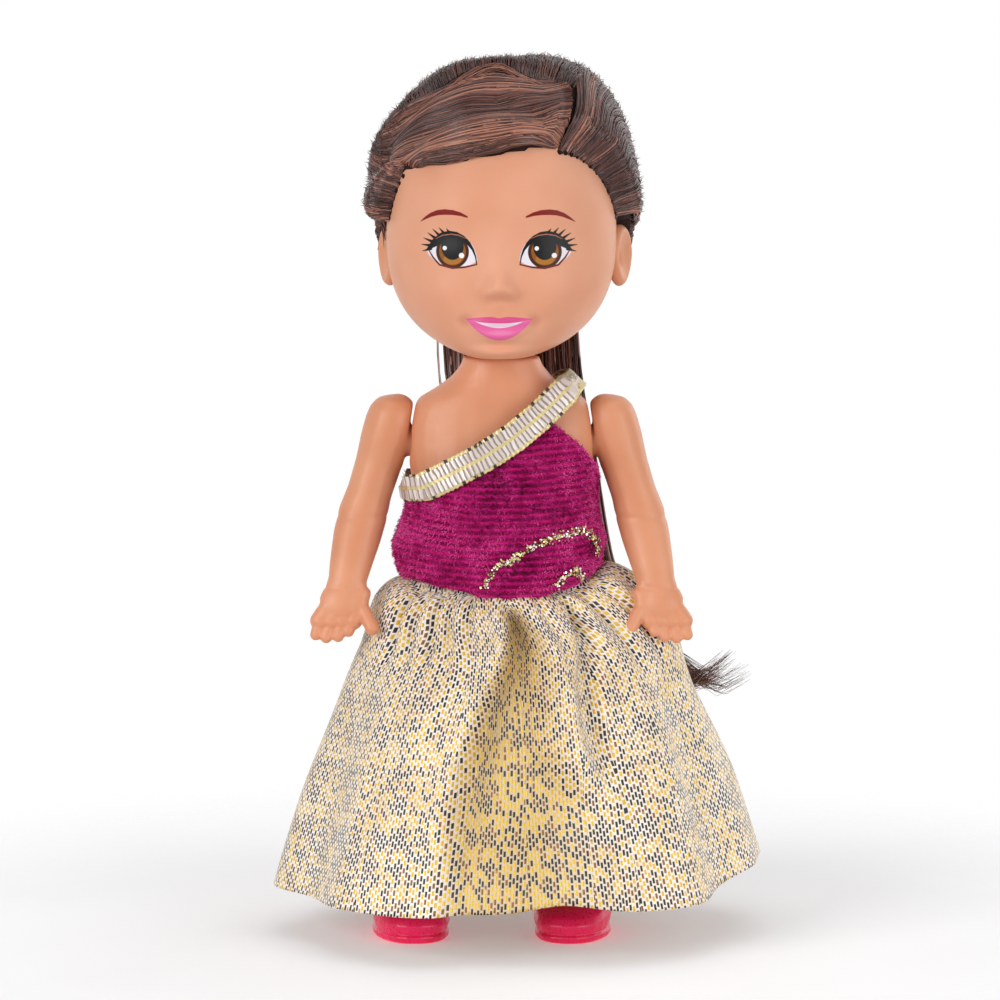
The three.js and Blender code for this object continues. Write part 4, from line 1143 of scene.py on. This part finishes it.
last = np.where(random.random(count) < 0.5, random.uniform(0.86, 1, count), random.uniform(0.7, 0.95, count))
stops = np.linspace(0, 1, 26) * last[:, None] * (STATIONS - 1)
low = np.minimum(stops.astype(int), STATIONS - 2)
each, part = np.arange(count)[:, None], (stops - low)[..., None]
paths = AXIS + (whole[each, low] * (1 - part) + whole[each, low + 1] * part) * MM
tone = random.uniform(0.5, 1.05, LOCKS)[lock] * random.uniform(0.4, 1, count)
# painted shade: strands away from a lock's middle are darker, as shade between the locks
shades = np.clip((1 - 18 * off[:, 0] ** 2) * tone, 0, 1)
tail_finish = finish("tail strands", tail_recipe, Specular_IOR_Level=0.5)
tail_mesh = strands("tail", paths, shades, 0.13, 0.3)
tail = piece("hair_strands_tail", tail_mesh, None, tail_finish, ["hair_fall"])
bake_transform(tail)
print("tail", len(paths), "strands")

# %% [markdown]
# ## The skirt
# The skirt is cut wide, gathered into the waist and left to stand in broad soft folds. A ring at
# the waist is extruded downwards row by row, and each row is opened to the flare and folds of that
# height. Its woven pattern needs real millimetres on the cloth, so they are measured on the folded
# surface, gore by gore, and kept as the mesh's UV map.

# %% Skirt form
SKIRT_TOP, COLLAR = 48.6, 1.6
VALLEY_LEFT = [(0, 0), (0.1, 0), (0.35, -0.2), (0.5, -0.27), (0.7, -0.3), (1, -0.28)]
VALLEY_RIGHT = [(0, 0.14), (0.1, 0.17), (0.3, 0.2), (0.5, 0.2), (0.65, 0.32), (1, 0.35)]
CREASE_LINE = [(0, 0.73), (0.12, 0.58), (0.25, 0.46), (0.37, 0.425), (0.5, 0.45), (0.7, 0.5), (1, 0.5)]
PLEATS = [(-1.0, 1.1), (-0.8, 0.9), (-0.62, 1.3), (-0.46, 1.0), (-0.3, 1.1), (-0.15, 0.6), (0.34, 0.7),
          (0.62, 0.9), (0.9, 1.1), (1.15, 0.8)]


def near(turn, centre, half):
    """A round-shouldered notch, 1 in the middle and 0 from half a width away."""
    t = np.clip(np.abs(np.arctan2(np.sin(turn - centre), np.cos(turn - centre))) / half, 0, 1)
    return (1 - t * t) ** 2


def valley_share(turn, down):
    """1 on the floor of the deep fold in front and 0 outside it."""
    left, right = (np.interp(down, *zip(*line)) for line in (VALLEY_LEFT, VALLEY_RIGHT))
    sharp, gentle = 0.035 + 0.04 * down, 0.07 + 0.2 * down
    into = smooth_step(turn, left - sharp, left + sharp)
    return into * (1 - smooth_step(turn, right - gentle, right + gentle)) * smooth_step(down, 0, 0.12)


def skirt_folds(turn, down):
    """How far the broad folds push the cloth out, in millimetres, at a turn and a share of the way down."""
    valley = -5.2 * valley_share(turn, down) * (1 - 0.5 * smooth_step(down, 0.6, 1))
    centre = np.interp(down, *zip(*CREASE_LINE))
    crease = -2.5 * near(turn, centre, 0.12) * smooth_step(down, 0, 0.08)
    crease = crease * (1 - smooth_step(down, 0.42, 0.68))
    ridge = 1.3 * near(turn, 0.27 + 0.06 * down, 0.15) * smooth_step(down, 0.03, 0.2) * (1 - 0.5 * down)
    left_lobe = 1.0 * near(turn, -0.42 - 0.1 * down, 0.3) * smooth_step(down, 0.1, 0.4)
    pleats = sum(-1.4 * high * near(turn, c, 0.07) for c, high in PLEATS)
    pleats = pleats * smooth_step(down, 0, 0.02) * (1 - smooth_step(down, 0.1, 0.3))
    deep = smooth_step(down, 0.05, 0.75)
    sides = (-2.2 * near(turn, -1.12, 0.34) - 2.0 * near(turn, 1.1, 0.3) + 0.9 * near(turn, 0.8, 0.25)) * deep
    wide = 1.2 * near(turn, 1.9, 0.5) * smooth_step(down, 0.3, 0.7)
    rear = sum(near(turn, c, 0.36) for c in (2.3, 2.85, -2.6, -1.9)) * -2.2 * deep
    return valley + crease + ridge + left_lobe + pleats + sides + wide + rear


def gathers(turn, down):
    """Small pleats where the cloth is sewn to the waist."""
    wave = 1.2 + np.cos(15 * turn + 1.3 * np.sin(2 * turn) + 0.6) + 0.6 * np.cos(23 * turn + 2)
    puffed = 0.25 + 0.15 * near(turn, 1.5, 0.6)
    return puffed * wave * (1 - smooth_step(down, 0.05, 0.3)) * smooth_step(down, -0.4, 0.04)


def skirt_places(turn, down):
    """Places in metres on the outside of the skirt. down is -1 at the top of the collar."""
    collar = np.where(down < 0, -down * COLLAR, 0)
    puff = np.where(down < 0, 0, 1 - smooth_step(down, 0.05, 0.4))
    fold = gathers(turn, down)
    down = np.maximum(down, 0)
    hem = 7 + 0.3 * np.sin(turn) + 3.2 * np.sin(turn).clip(0) ** 8 + 1.2 * hill(turn - 0.22, 0.14)
    z = (SKIRT_TOP - COLLAR) * (1 - down) + hem * down + collar
    z = z + (3.4 * near(turn, 1.75, 0.95) + 1.6 * near(turn, -1.7, 0.8)) * puff
    flare = 12 + 20.9 * down**0.56 + (1.9 * near(turn, 1.75, 0.9) + 0.4 * near(turn, -1.7, 0.7)) * puff
    fold = fold + skirt_folds(turn, down)
    depth = 0.64 + 0.22 * np.minimum(down * 3, 1)
    x = (flare + fold) * np.sin(turn) + 1.9 * smooth_step(down, 0.0, 0.22)
    y = -(flare * depth + fold) * np.cos(turn)
    return AXIS + np.stack([x, y, z], -1) * MM


# %% Skirt mesh, row by row
ROUND = 360
DOWNS = np.array([-1, *np.linspace(0, 1, 76) ** 1.1])
form = bmesh.new()
turn_layer = form.verts.layers.float.new("turn")
row_layer = form.verts.layers.int.new("row")
bmesh.ops.create_circle(form, segments=ROUND, radius=0.01)
for vertex in form.verts:
    vertex[turn_layer] = math.atan2(vertex.co.x, -vertex.co.y)
edges = list(form.edges)
for row in range(1, len(DOWNS)):
    new = bmesh.ops.extrude_edge_only(form, edges=edges)["geom"]
    edges = [g for g in new if isinstance(g, bmesh.types.BMEdge)]
    for vertex in {v for e in edges for v in e.verts}:
        vertex[row_layer] = row
form.verts.index_update()
rows = np.array([v[row_layer] for v in form.verts])
columns = np.array([round((v[turn_layer] + math.pi) / math.tau * ROUND) % ROUND for v in form.verts])
turns = np.linspace(-math.pi, math.pi, ROUND + 1)
grid = skirt_places(*np.meshgrid(turns, DOWNS))
ripple = np.array([[wander(Vector((p[0] * 140, p[1] * 140, p[2] * 70))) for p in ring] for ring in grid])
push = (ripple * 0.35 * smooth_step(DOWNS, 0.1, 0.5)[:, None])[..., None]
grid += push * np.stack([np.sin(turns), -np.cos(turns), turns * 0], -1) * MM
for vertex, row, column in zip(form.verts, rows, columns):
    vertex.co = grid[row, column]
bmesh.ops.recalc_face_normals(form, faces=form.faces)
some = next(iter(form.faces))
middle = some.calc_center_median()
if some.normal.dot(middle - place(0, 0, middle.z / MM)) < 0:
    bmesh.ops.reverse_faces(form, faces=form.faces)
area = sum(f.calc_area() for f in form.faces)
print("skirt", len(form.faces), "faces, area", round(area * 1e6), "mm2")

# %% [markdown]
# ## Millimetres on the cloth
# A woven pattern keeps its size wherever the cloth goes, so a point's place on the cloth is measured
# along the folded surface: round it from the middle of its gore, and down it from the waist. Gores
# keep the columns upright where the skirt widens. The steps are averaged over a few neighbours, so
# that single folds don't bend the pattern.

# %% Measuring, gore by gore
CLOTH_SPAN, GORE_SHIFT = 100, 0.17
GORES = [-math.pi, -2.6, -2.25, -1.9, -1.5, -1.1, -0.7, -0.3, 0.05, 0.33, 0.52, 0.8, 1.12, 1.6, 2.1, 2.75,
         math.pi]


def calmed(values, reach):
    """Values round the skirt, averaged with their neighbours on both sides."""
    return sum(np.roll(values, step, 1) for step in range(-reach, reach + 1)) / (2 * reach + 1)


around = calmed(np.linalg.norm(np.diff(grid, axis=1), axis=2), 9)
around = np.concatenate([np.zeros((len(DOWNS), 1)), np.cumsum(around, axis=1)], axis=1) / MM
drop = calmed(np.linalg.norm(np.diff(grid[:, :-1], axis=0), axis=2), 16)
drop = np.concatenate([np.zeros((1, ROUND)), np.cumsum(drop, axis=0)], axis=0) / MM
drop = np.concatenate([drop, drop[:, :1]], axis=1)
gore_of = np.searchsorted(GORES, turns[:-1] + 1e-6) - 1
middles = [round(((a + b) / 2 + math.pi) / math.tau * ROUND) for a, b in zip(GORES[:-1], GORES[1:])]
cloth = form.loops.layers.uv.new("cloth")
for one in form.faces:
    own = [columns[v.index] for v in one.verts]
    left = ROUND - 1 if max(own) - min(own) > 1 else min(own)
    gore = gore_of[left]
    for loop in one.loops:
        row, column = rows[loop.vert.index], columns[loop.vert.index]
        column = ROUND if left == ROUND - 1 and column == 0 else column
        u = around[row, column] - around[row, middles[gore]] + gore * GORE_SHIFT
        loop[cloth].uv = (u / CLOTH_SPAN, drop[row, column] / CLOTH_SPAN)
skirt_mesh = mesh_of(form, "skirt")
# fold marks the deep front fold, where the lame's thread is painted dim as painted shade
store(skirt_mesh, "fold", valley_share(turns[columns], DOWNS[rows].clip(0)))
print("cloth round the hem", round(around[-1, -1], 1), "mm")
print("cloth down the front", round(drop[-1, ROUND // 2], 1), "mm")

# %% [markdown]
# ## Lame
# Lame is a thin cloth of cream threads with flat metal threads between them. Where a metal thread
# comes up it shows as a short dash, gold as a rule. In drifting bands the dashes are painted bronze
# or black instead, as painted dim and dark reflections of the surroundings. The dashes sit in
# columns, each column shifted against the next, and every dash has a length and a shade of its own.
# In the deep fold the thread is painted warm and dim, as painted shade.

# %% Cloth and hem thread
COLUMN_PITCH, DASH_PITCH = 0.47, 1.04


def lame_recipe(at):
    places = at.node("ShaderNodeUVMap", {"uv_map": "cloth"})
    u, v, _ = places.parts()
    across, down = u * (CLOTH_SPAN / COLUMN_PITCH), v * (CLOTH_SPAN / DASH_PITCH)
    column = across.floor()
    run = down + column * 0.5 + column.chance(column + 7) * 0.35
    dash, number = run.fraction(), run.floor()
    luck = column.chance(number)
    length = luck.rise(0, 1, 0.64, 0.8)
    shown = dash.rise(0, 0.06) * (dash - length).rise(-0.06, 0, 1, 0)
    side = across.fraction()
    metal = shown * side.rise(0.1, 0.15) * side.rise(0.76, 0.81, 1, 0)
    aslant = {"Vector": at, "Rotation": (0, 0.5, 0), "Scale": (0.4, 0.4, 1.6)}
    # painted reflections: bronze and black dashes, laid in drifting bands, stand for dim and dark reflections
    # of the surroundings
    reflection_bands = at.node("ShaderNodeMapping", None, aslant)
    reflection_sort = reflection_bands.noise(150, 3, 0.55) * 0.6 + luck * 0.7
    black, bronze_reflection = reflection_sort.rise(0.74, 0.76), reflection_sort.rise(0.6, 0.62)
    thread = at.noise(240, 3).rise(0.35, 0.7).blend(colour(255, 247, 238), colour(246, 231, 214))
    # painted shade: the thread in the deep fold is tinted warm and dim
    thread = (measured(at, "fold") * 0.75).blend(thread, colour(205, 176, 126))
    shade = bronze_reflection.blend(luck.blend(colour(220, 178, 24), colour(206, 164, 14)), colour(128, 84, 34))
    shade = black.blend(shade, colour(12, 8, 6))
    tint = metal.blend(thread, shade)
    weave = side.rise(0, 0.5) * side.rise(0.5, 1, 1, 0) + metal * 0.5
    return {"Base_Color": tint, "Metallic": metal * black.rise(0, 1, 0.3, 0.1),
            "Roughness": metal.rise(0, 1, 0.55, 0.38), "Normal": weave.bump(0.5, 0.0001)}


def hem_recipe(at):
    twist = at.stretched(1, 1, 0.4).noise(2600, 2)
    return {"Base_Color": twist.rise(0.35, 0.65).blend(colour(116, 76, 34), colour(190, 142, 62)),
            "Roughness": twist.rise(0.3, 0.7, 0.4, 0.6)}


skirt = piece("skirt_cloth", skirt_mesh, "body", finish("gold lame", lame_recipe), ["skirt"])
skirt_mesh.materials.append(finish("hem thread", hem_recipe))
thickness = skirt.modifiers.new("cloth thickness", "SOLIDIFY")
thickness.thickness, thickness.offset = 0.3 * MM, -1
thickness.material_offset_rim = 1

# %% [markdown]
# ## The bodice
# The bodice is corduroy velvet with its ribs lying across the body. The frame's shell gives its
# cut, and it is puffed a little over the waist. The pile is made of short fibres that stand on the
# ribs, because it is the fibres that fuzz the outline and break up the light.

# %% Bodice
RIB, RIB_SAG = 0.9, 0.006
NECKLINE = [(-14.8, 60.6), (-10.5, 61.2), (-6.5, 63.3), (-2.3, 65.5), (1.7, 68.1), (5, 70.8), (8.8, 74.4)]


def velvet_recipe(at):
    inputs = {"Vector": at, "Location": tuple(-AXIS / MM), "Scale": (1 / MM,) * 3}
    x, y, z = at.node("ShaderNodeMapping", None, inputs).parts()
    rib = ((z - x * x * RIB_SAG) / RIB + at.noise(160, 2) * 0.6).wave()
    pile, nap_sheen = at.noise(5200, 3), at.noise(420, 3).rise(0.35, 0.7)
    # painted shade: the velvet is coloured darker in the grooves between the ribs
    tint = rib.rise(-1, 0.8).blend(colour(118, 2, 62), colour(190, 16, 110))
    # painted sheen: drifting patches of the velvet are a lighter pink
    tint = (nap_sheen * pile.rise(0.4, 0.7)).blend(tint, colour(226, 60, 152))
    return {"Base_Color": tint, "Roughness": pile.rise(0.3, 0.7, 0.75, 0.95),
            "Normal": (rib * 0.5 + pile * 0.6).bump(0.8, 0.00018)}


SHEEN = {"Sheen_Weight": 0.2, "Sheen_Roughness": 0.4, "Sheen_Tint": colour(240, 60, 160),
         "Specular_IOR_Level": 0.15}
velvet = finish("ribbed velvet", velvet_recipe, **SHEEN)


def rib_phase(x, z):
    """Where a place lies across the ribs, a full circle for each rib."""
    return (z - RIB_SAG * x * x) / RIB * math.tau


def faces_away(own, normal):
    """How far a surface faces away from the axis of the body, from -1 to 1."""
    return np.einsum("ij,ij->i", normal[:, :2], own[:, :2]) / np.linalg.norm(own[:, :2], axis=1)


bodice_mesh = moulded("bodice", 0.24, 5)
points, normals = points_of(bodice_mesh), points_of(bodice_mesh, "normal")
own = (points - AXIS) / MM
smile = np.interp(own[:, 0], (-14, -9, -2, 5, 10, 14), (2.2, 0.9, -0.7, -0.6, 0.9, 3.6))
points[:, 2] += smile * (1 - smooth_step(own[:, 2], 47.5, 55.5)) * MM
own = (points - AXIS) / MM
puff = smooth_step(-own[:, 0], 2, 13) + 0.2 * smooth_step(own[:, 0], 2, 13)
swell = 0.75 * hill(own[:, 2] - 52, 2.6) * puff + 0.25 * hill(own[:, 2] - 50, 2)
crumple = np.array([wander(Vector(p * [0.22, 0.22, 0.35])) for p in own]) * 0.3 * (own[:, 2] < 60)
ribs = 0.07 * np.cos(rib_phase(own[:, 0], own[:, 2]))
push = np.where(faces_away(own, normals) > 0.2, swell + crumple + ribs, 0) * MM
move_points(bodice_mesh, points + normals * push[:, None])
bodice = piece("bodice_velvet", bodice_mesh, "body", velvet, ["bodice"])
print("bodice", len(bodice_mesh.polygons), "faces")


# %% [markdown]
# ## Pile, glitter and scattered things
# Fibres, flakes and whiskers are each one small form, repeated at random places of a surface and
# turned to its normal. Pile fibres stand on the ribs and lean downwards, as stroked velvet does.
# Whole fibres are painted a lighter pink in drifting patches and towards the sides of the bodice, as
# painted sheen. The glitter is glued on along two scrolls.

# %% Scattering small things on a surface
def scatter(mesh, count, chance, keep):
    """Random places on a mesh, with their normals, where keep says so."""
    values = {}
    for name, width in (("area", 1), ("center", 3), ("normal", 3)):
        values[name] = np.zeros(len(mesh.polygons) * width)
        mesh.polygons.foreach_get(name, values[name])
    middle, normal = values["center"].reshape(-1, 3), values["normal"].reshape(-1, 3)
    weight = values["area"] * keep((middle - AXIS) / MM, normal)
    picked = chance.choice(len(weight), count, p=weight / weight.sum())
    return middle[picked] + chance.normal(0, 0.06 * MM, (count, 3)), normal[picked]


def fibre(radius, length):
    """A thin spike that stands on the origin."""
    form = bmesh.new()
    bmesh.ops.create_cone(form, cap_ends=True, segments=3, radius1=radius * MM, radius2=radius * 0.2 * MM,
                          depth=length * MM)
    bmesh.ops.translate(form, verts=form.verts, vec=(0, 0, length * 0.4 * MM))
    return form


def on_neckline(x, z):
    """Distance along the ribbon's middle line and off it, in millimetres, and the way across it."""
    corners = np.array(NECKLINE)
    flat = np.stack([x, z], 1)
    best, run, off = np.full(len(flat), 1e9), np.zeros(len(flat)), np.zeros(len(flat))
    aside = np.zeros((len(flat), 2))
    start = 0.0
    for a, b in zip(corners[:-1], corners[1:]):
        length = np.linalg.norm(b - a)
        way = (b - a) / length
        t = np.clip((flat - a) @ way, 0, length)
        gap = flat - a - t[:, None] * way
        distance = np.linalg.norm(gap, axis=1)
        side = np.sign(way[0] * gap[:, 1] - way[1] * gap[:, 0])
        closer = distance < best
        best = np.where(closer, distance, best)
        run, off = np.where(closer, start + t, run), np.where(closer, side * distance, off)
        aside[closer] = -way[1], way[0]
        start += length
    return run, off, aside


# %% Pile on the ribs
def outside_velvet(own, normal):
    """1 on the bodice's ribs, half of that between them, and next to nothing under trims and inside."""
    off = on_neckline(own[:, 0], own[:, 2])[1]
    tapes = (own[:, 1] > 0) & (np.abs(own[:, 0]) < 3.6)
    on_rib = np.where(np.cos(rib_phase(own[:, 0], own[:, 2])) > -0.2, 1, 0.5)
    return (faces_away(own, normal) > 0.25) * (off < -1.75) * ~tapes * on_rib + 1e-12


def pile_recipe(at):
    shade = measured(at, "shade")
    tint = shade.rise(0, 0.5).blend(colour(96, 0, 50), colour(198, 16, 114))
    # the lightest pink is painted sheen, given to fibres through their shade
    tint = shade.rise(0.45, 1).blend(tint, colour(252, 100, 186))
    return {"Base_Color": tint, "Roughness": shade.rise(0, 1, 0.6, 0.75)}


PILE = 18000
chance = np.random.default_rng(4)
spots, normal = scatter(bodice_mesh, PILE, chance, outside_velvet)
lean = normal + chance.normal(0, 0.45, (PILE, 3)) + [0, 0, -0.35]
own = (spots - AXIS) / MM
# painted sheen: fibres are lighter in drifting patches and towards both sides of the bodice
nap_sheen = np.array([wander(Vector(p * 0.3)) + 0.6 * wander(Vector(p * 1.1)) for p in own])
side_sheen = 0.4 * smooth_step(-own[:, 0], 2, 9) + 0.3 * smooth_step(own[:, 0], 5, 11)
shades = np.clip(chance.random(PILE) * 0.6 + nap_sheen * 0.85 + side_sheen + 0.12, 0, 1)
pile_mesh = repeated(fibre(0.075, 0.42), spots, turns_to(lean), chance.uniform(0.6, 1.2, PILE), shades)
pile_finish = finish("velvet pile", pile_recipe, Specular_IOR_Level=0.2)
pile = piece("velvet_pile", pile_mesh, "body", pile_finish)
print("pile", PILE, "fibres")

# %% Glitter scroll on the velvet
SCROLL = [(-2.3, 48.2), (-0.7, 50.8), (1.3, 51.5), (2.2, 52.4), (4.2, 53.4), (6.6, 54.5), (9.2, 55.1),
          (11.4, 55.2), (12.6, 53.9), (13.2, 52.2)]
CURL = [(7.4, 48.1), (8.7, 49.5), (10.1, 50.2), (10.7, 49)]


def flake_recipe(at):
    shade = measured(at, "shade")
    tint = shade.rise(0.15, 0.45).blend(colour(84, 66, 30), colour(220, 204, 128))
    tint = shade.rise(0.6, 0.9).blend(tint, colour(250, 250, 246))
    return {"Base_Color": tint, "Metallic": shade.rise(0.2, 0.6, 0.9, 0.5),
            "Roughness": shade.rise(0, 1, 0.2, 0.35)}


velvet_tree = tree_of(bodice_mesh)
spots, facing = [], []
for scroll, number in ((through(SCROLL, 120), 560), (through(CURL, 40), 130)):
    for _ in range(number):
        x, z = scroll[chance.integers(len(scroll))] + chance.normal(0, 0.24, 2)
        hit, there = velvet_tree.ray_cast(place(x * 0.98, -30, z), Vector((0, 1, 0)))[:2]
        if hit:
            spots.append(np.array(hit) + np.array(there) * chance.uniform(0.15, 0.42) * MM)
            facing.append(np.array(there) + chance.normal(0, 0.35, 3))
FLAKE, FLAKE_THICK = 0.14 * MM, 0.03 * MM
form = bmesh.new()
bmesh.ops.create_cone(form, cap_ends=True, segments=6, radius1=FLAKE, radius2=FLAKE, depth=FLAKE_THICK)
count = len(spots)
mesh = repeated(form, np.array(spots), turns_to(np.array(facing)), chance.uniform(0.7, 1.25, count),
                chance.random(count))
glitter_finish = finish("glitter", flake_recipe)
glitter = piece("glitter_scroll", mesh, "body", glitter_finish)
mesh.shade_flat()
print("glitter", count, "flakes")


# %% [markdown]
# ## Ribbon on the neckline
# The braid is a narrow metallic ribbon: two rows of small silver blocks with a gold line between
# them and gold edges. The pattern follows the ribbon, so every point of its mesh stores how far
# along and how far across it lies. Fine whiskers of metal thread stick out of a cheap cut edge, and
# a few hundred break up its straight line.

# %% Ribbon
def braid_recipe(at):
    run, off = measured(at, "run"), measured(at, "off")
    row = off.rise(-0.01, 0.01)
    count = run / 0.66 + row * 0.4 + at.noise(500) * 0.9
    block, number = count.fraction(), count.floor()
    edge = abs(off).rise(1.12, 1.2)
    gold = edge.most(abs(off).rise(0.14, 0.22, 1, 0))
    ridge = block.rise(0, 0.15) * block.rise(0.72, 0.9, 1, 0)
    stitch = run / 0.9
    wanted = row.rise(0, 1, 0.75, 0.4)
    fleck = (stitch.floor().chance(row) - wanted).rise(0, 0.04) * stitch.fraction().rise(0.42, 0.5) * edge
    silver = number.chance(row).blend(colour(206, 190, 182), colour(234, 226, 220))
    tint = ridge.blend(colour(172, 152, 142), silver)
    tint = gold.blend(tint, colour(212, 194, 138))
    tint = fleck.blend(tint, colour(44, 36, 32))
    height = ridge * (1 - gold) + gold * 0.8
    return {"Base_Color": tint, "Metallic": ridge.rise(0, 1, 0.15, 0.35),
            "Roughness": ridge.rise(0, 1, 0.5, 0.32), "Normal": height.bump(0.9, 0.0002)}


ribbon_mesh = moulded("strap_trim", 0.13, 3)
points = points_of(ribbon_mesh)
own = (points - AXIS) / MM
run, off, aside = on_neckline(own[:, 0], own[:, 2])
points[:, [0, 2]] += aside * (off * 0.36)[:, None] * MM
store(ribbon_mesh, "run", run)
store(ribbon_mesh, "off", off)
lump = np.where(np.abs(off) < 1.15, 0.07 * np.abs(np.sin(run / 0.66 * math.pi)), 0.06 * np.sin(run * 9))
move_points(ribbon_mesh, points + points_of(ribbon_mesh, "normal") * lump[:, None] * MM)
braid_finish = finish("metallic braid", braid_recipe)
ribbon = piece("ribbon_trim", ribbon_mesh, "body", braid_finish, ["strap_trim"])
print("ribbon", len(ribbon_mesh.polygons), "faces")


# %% Whiskers of metal thread on the ribbon's edges
def ribbon_edge(own, normal):
    """1 along the ribbon's two edges, next to nothing elsewhere."""
    return (np.abs(np.abs(on_neckline(own[:, 0], own[:, 2])[1]) - 1.5) < 0.12) + 1e-12


WHISKERS = 420
spots, normal = scatter(ribbon_mesh, WHISKERS, chance, ribbon_edge)
signs = np.sign(on_neckline((spots[:, 0] - AXIS[0]) / MM, spots[:, 2] / MM)[1])
ways = np.stack([signs * -0.45, normal[:, 1] * 0.4, signs * 0.75], 1)
ways += chance.normal(0, 0.4, (WHISKERS, 3))
mesh = repeated(fibre(0.06, 0.55), spots, turns_to(ways), chance.uniform(0.5, 1.1, WHISKERS),
                chance.random(WHISKERS))
whiskers = piece("ribbon_whiskers", mesh, "body", glitter_finish)
print("whiskers", WHISKERS)


# %% [markdown]
# ## Shoes, tie and tapes
# The shoes are soft glossy vinyl, poured into a mould, so their shine is broad and a little cloudy.
# The tie is a plain elastic band, and the closing at the back is a pair of hook and loop tapes.
# Each is the frame's solid, softened, since its form is already right.

# %% Shoes
def shoe_recipe(at):
    cloud = at.noise(260, 2).rise(0.3, 0.7)
    grain = at.noise(3000, 2)
    return {"Base_Color": cloud.blend(colour(252, 28, 98), colour(244, 18, 84)),
            "Roughness": grain.rise(0.3, 0.7, 0.26, 0.34), "Normal": grain.bump(0.05, 0.0001)}


shoe_vinyl = finish("glossy shoe vinyl", shoe_recipe)
for node, body in (("shoe_left", "leg_l"), ("shoe_right", "leg_r")):
    mesh = moulded(node, 0.16, 14)
    piece(node + "_vinyl", mesh, body, shoe_vinyl, [node])
    print(node, len(mesh.polygons), "faces")


# %% Tie and tapes
def tape_recipe(at):
    loops = at.noise(4200, 3)
    weave = at.node("ShaderNodeTexVoronoi", None, {"Vector": at, "Scale": 2600})
    return {"Base_Color": loops.rise(0.3, 0.7).blend(colour(226, 214, 202), colour(248, 240, 232)),
            "Roughness": loops.rise(0.2, 0.8, 0.8, 0.95), "Normal": (weave + loops).bump(0.6, 0.0002)}


def elastic_recipe(at):
    x, y, z = at.stretched(1000, 1000, 1000).parts()
    ribs = (z / 0.4).wave()
    return {"Base_Color": ribs.rise(-1, 1).blend(colour(96, 8, 54), colour(160, 18, 92)),
            "Roughness": ribs.rise(-1, 1, 0.7, 0.5), "Normal": ribs.bump(0.5, 0.0001)}


tape_finish = finish("hook and loop tape", tape_recipe)
tapes = [piece(node + "_tape", moulded(node, 0.14, 3), "body", tape_finish, [node])
         for node in ("closure_hook", "closure_loop")]
band_finish = finish("elastic band", elastic_recipe)
piece("hair_band", moulded("hair_tie", 0.15, 6), "head", band_finish, ["hair_tie"])
print("tapes", len(tapes), "and a band")

# %% [markdown]
# ## Cloth and sizes
# The bodice is cut from a flat piece and stretched round the body; the size of that piece and the
# bodice's area are printed. The boxes of the frame's solids and of what is shown are written down
# last, so that their sizes can be compared.

# %% The bodice's cut and area
BODICE_CUT = (0.082, 0.03)
area = sum(p.area for p in bodice_mesh.polygons) / 2
print("bodice cut", BODICE_CUT, "area", round(area * 1e6), "mm2")

# %% Sizes and the finish
visual_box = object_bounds()
sides = [[round((b - a) / MM, 2) for a, b in zip(*box)] for box in (cad_box, visual_box)]
print("cad and visual sides, mm", sides)
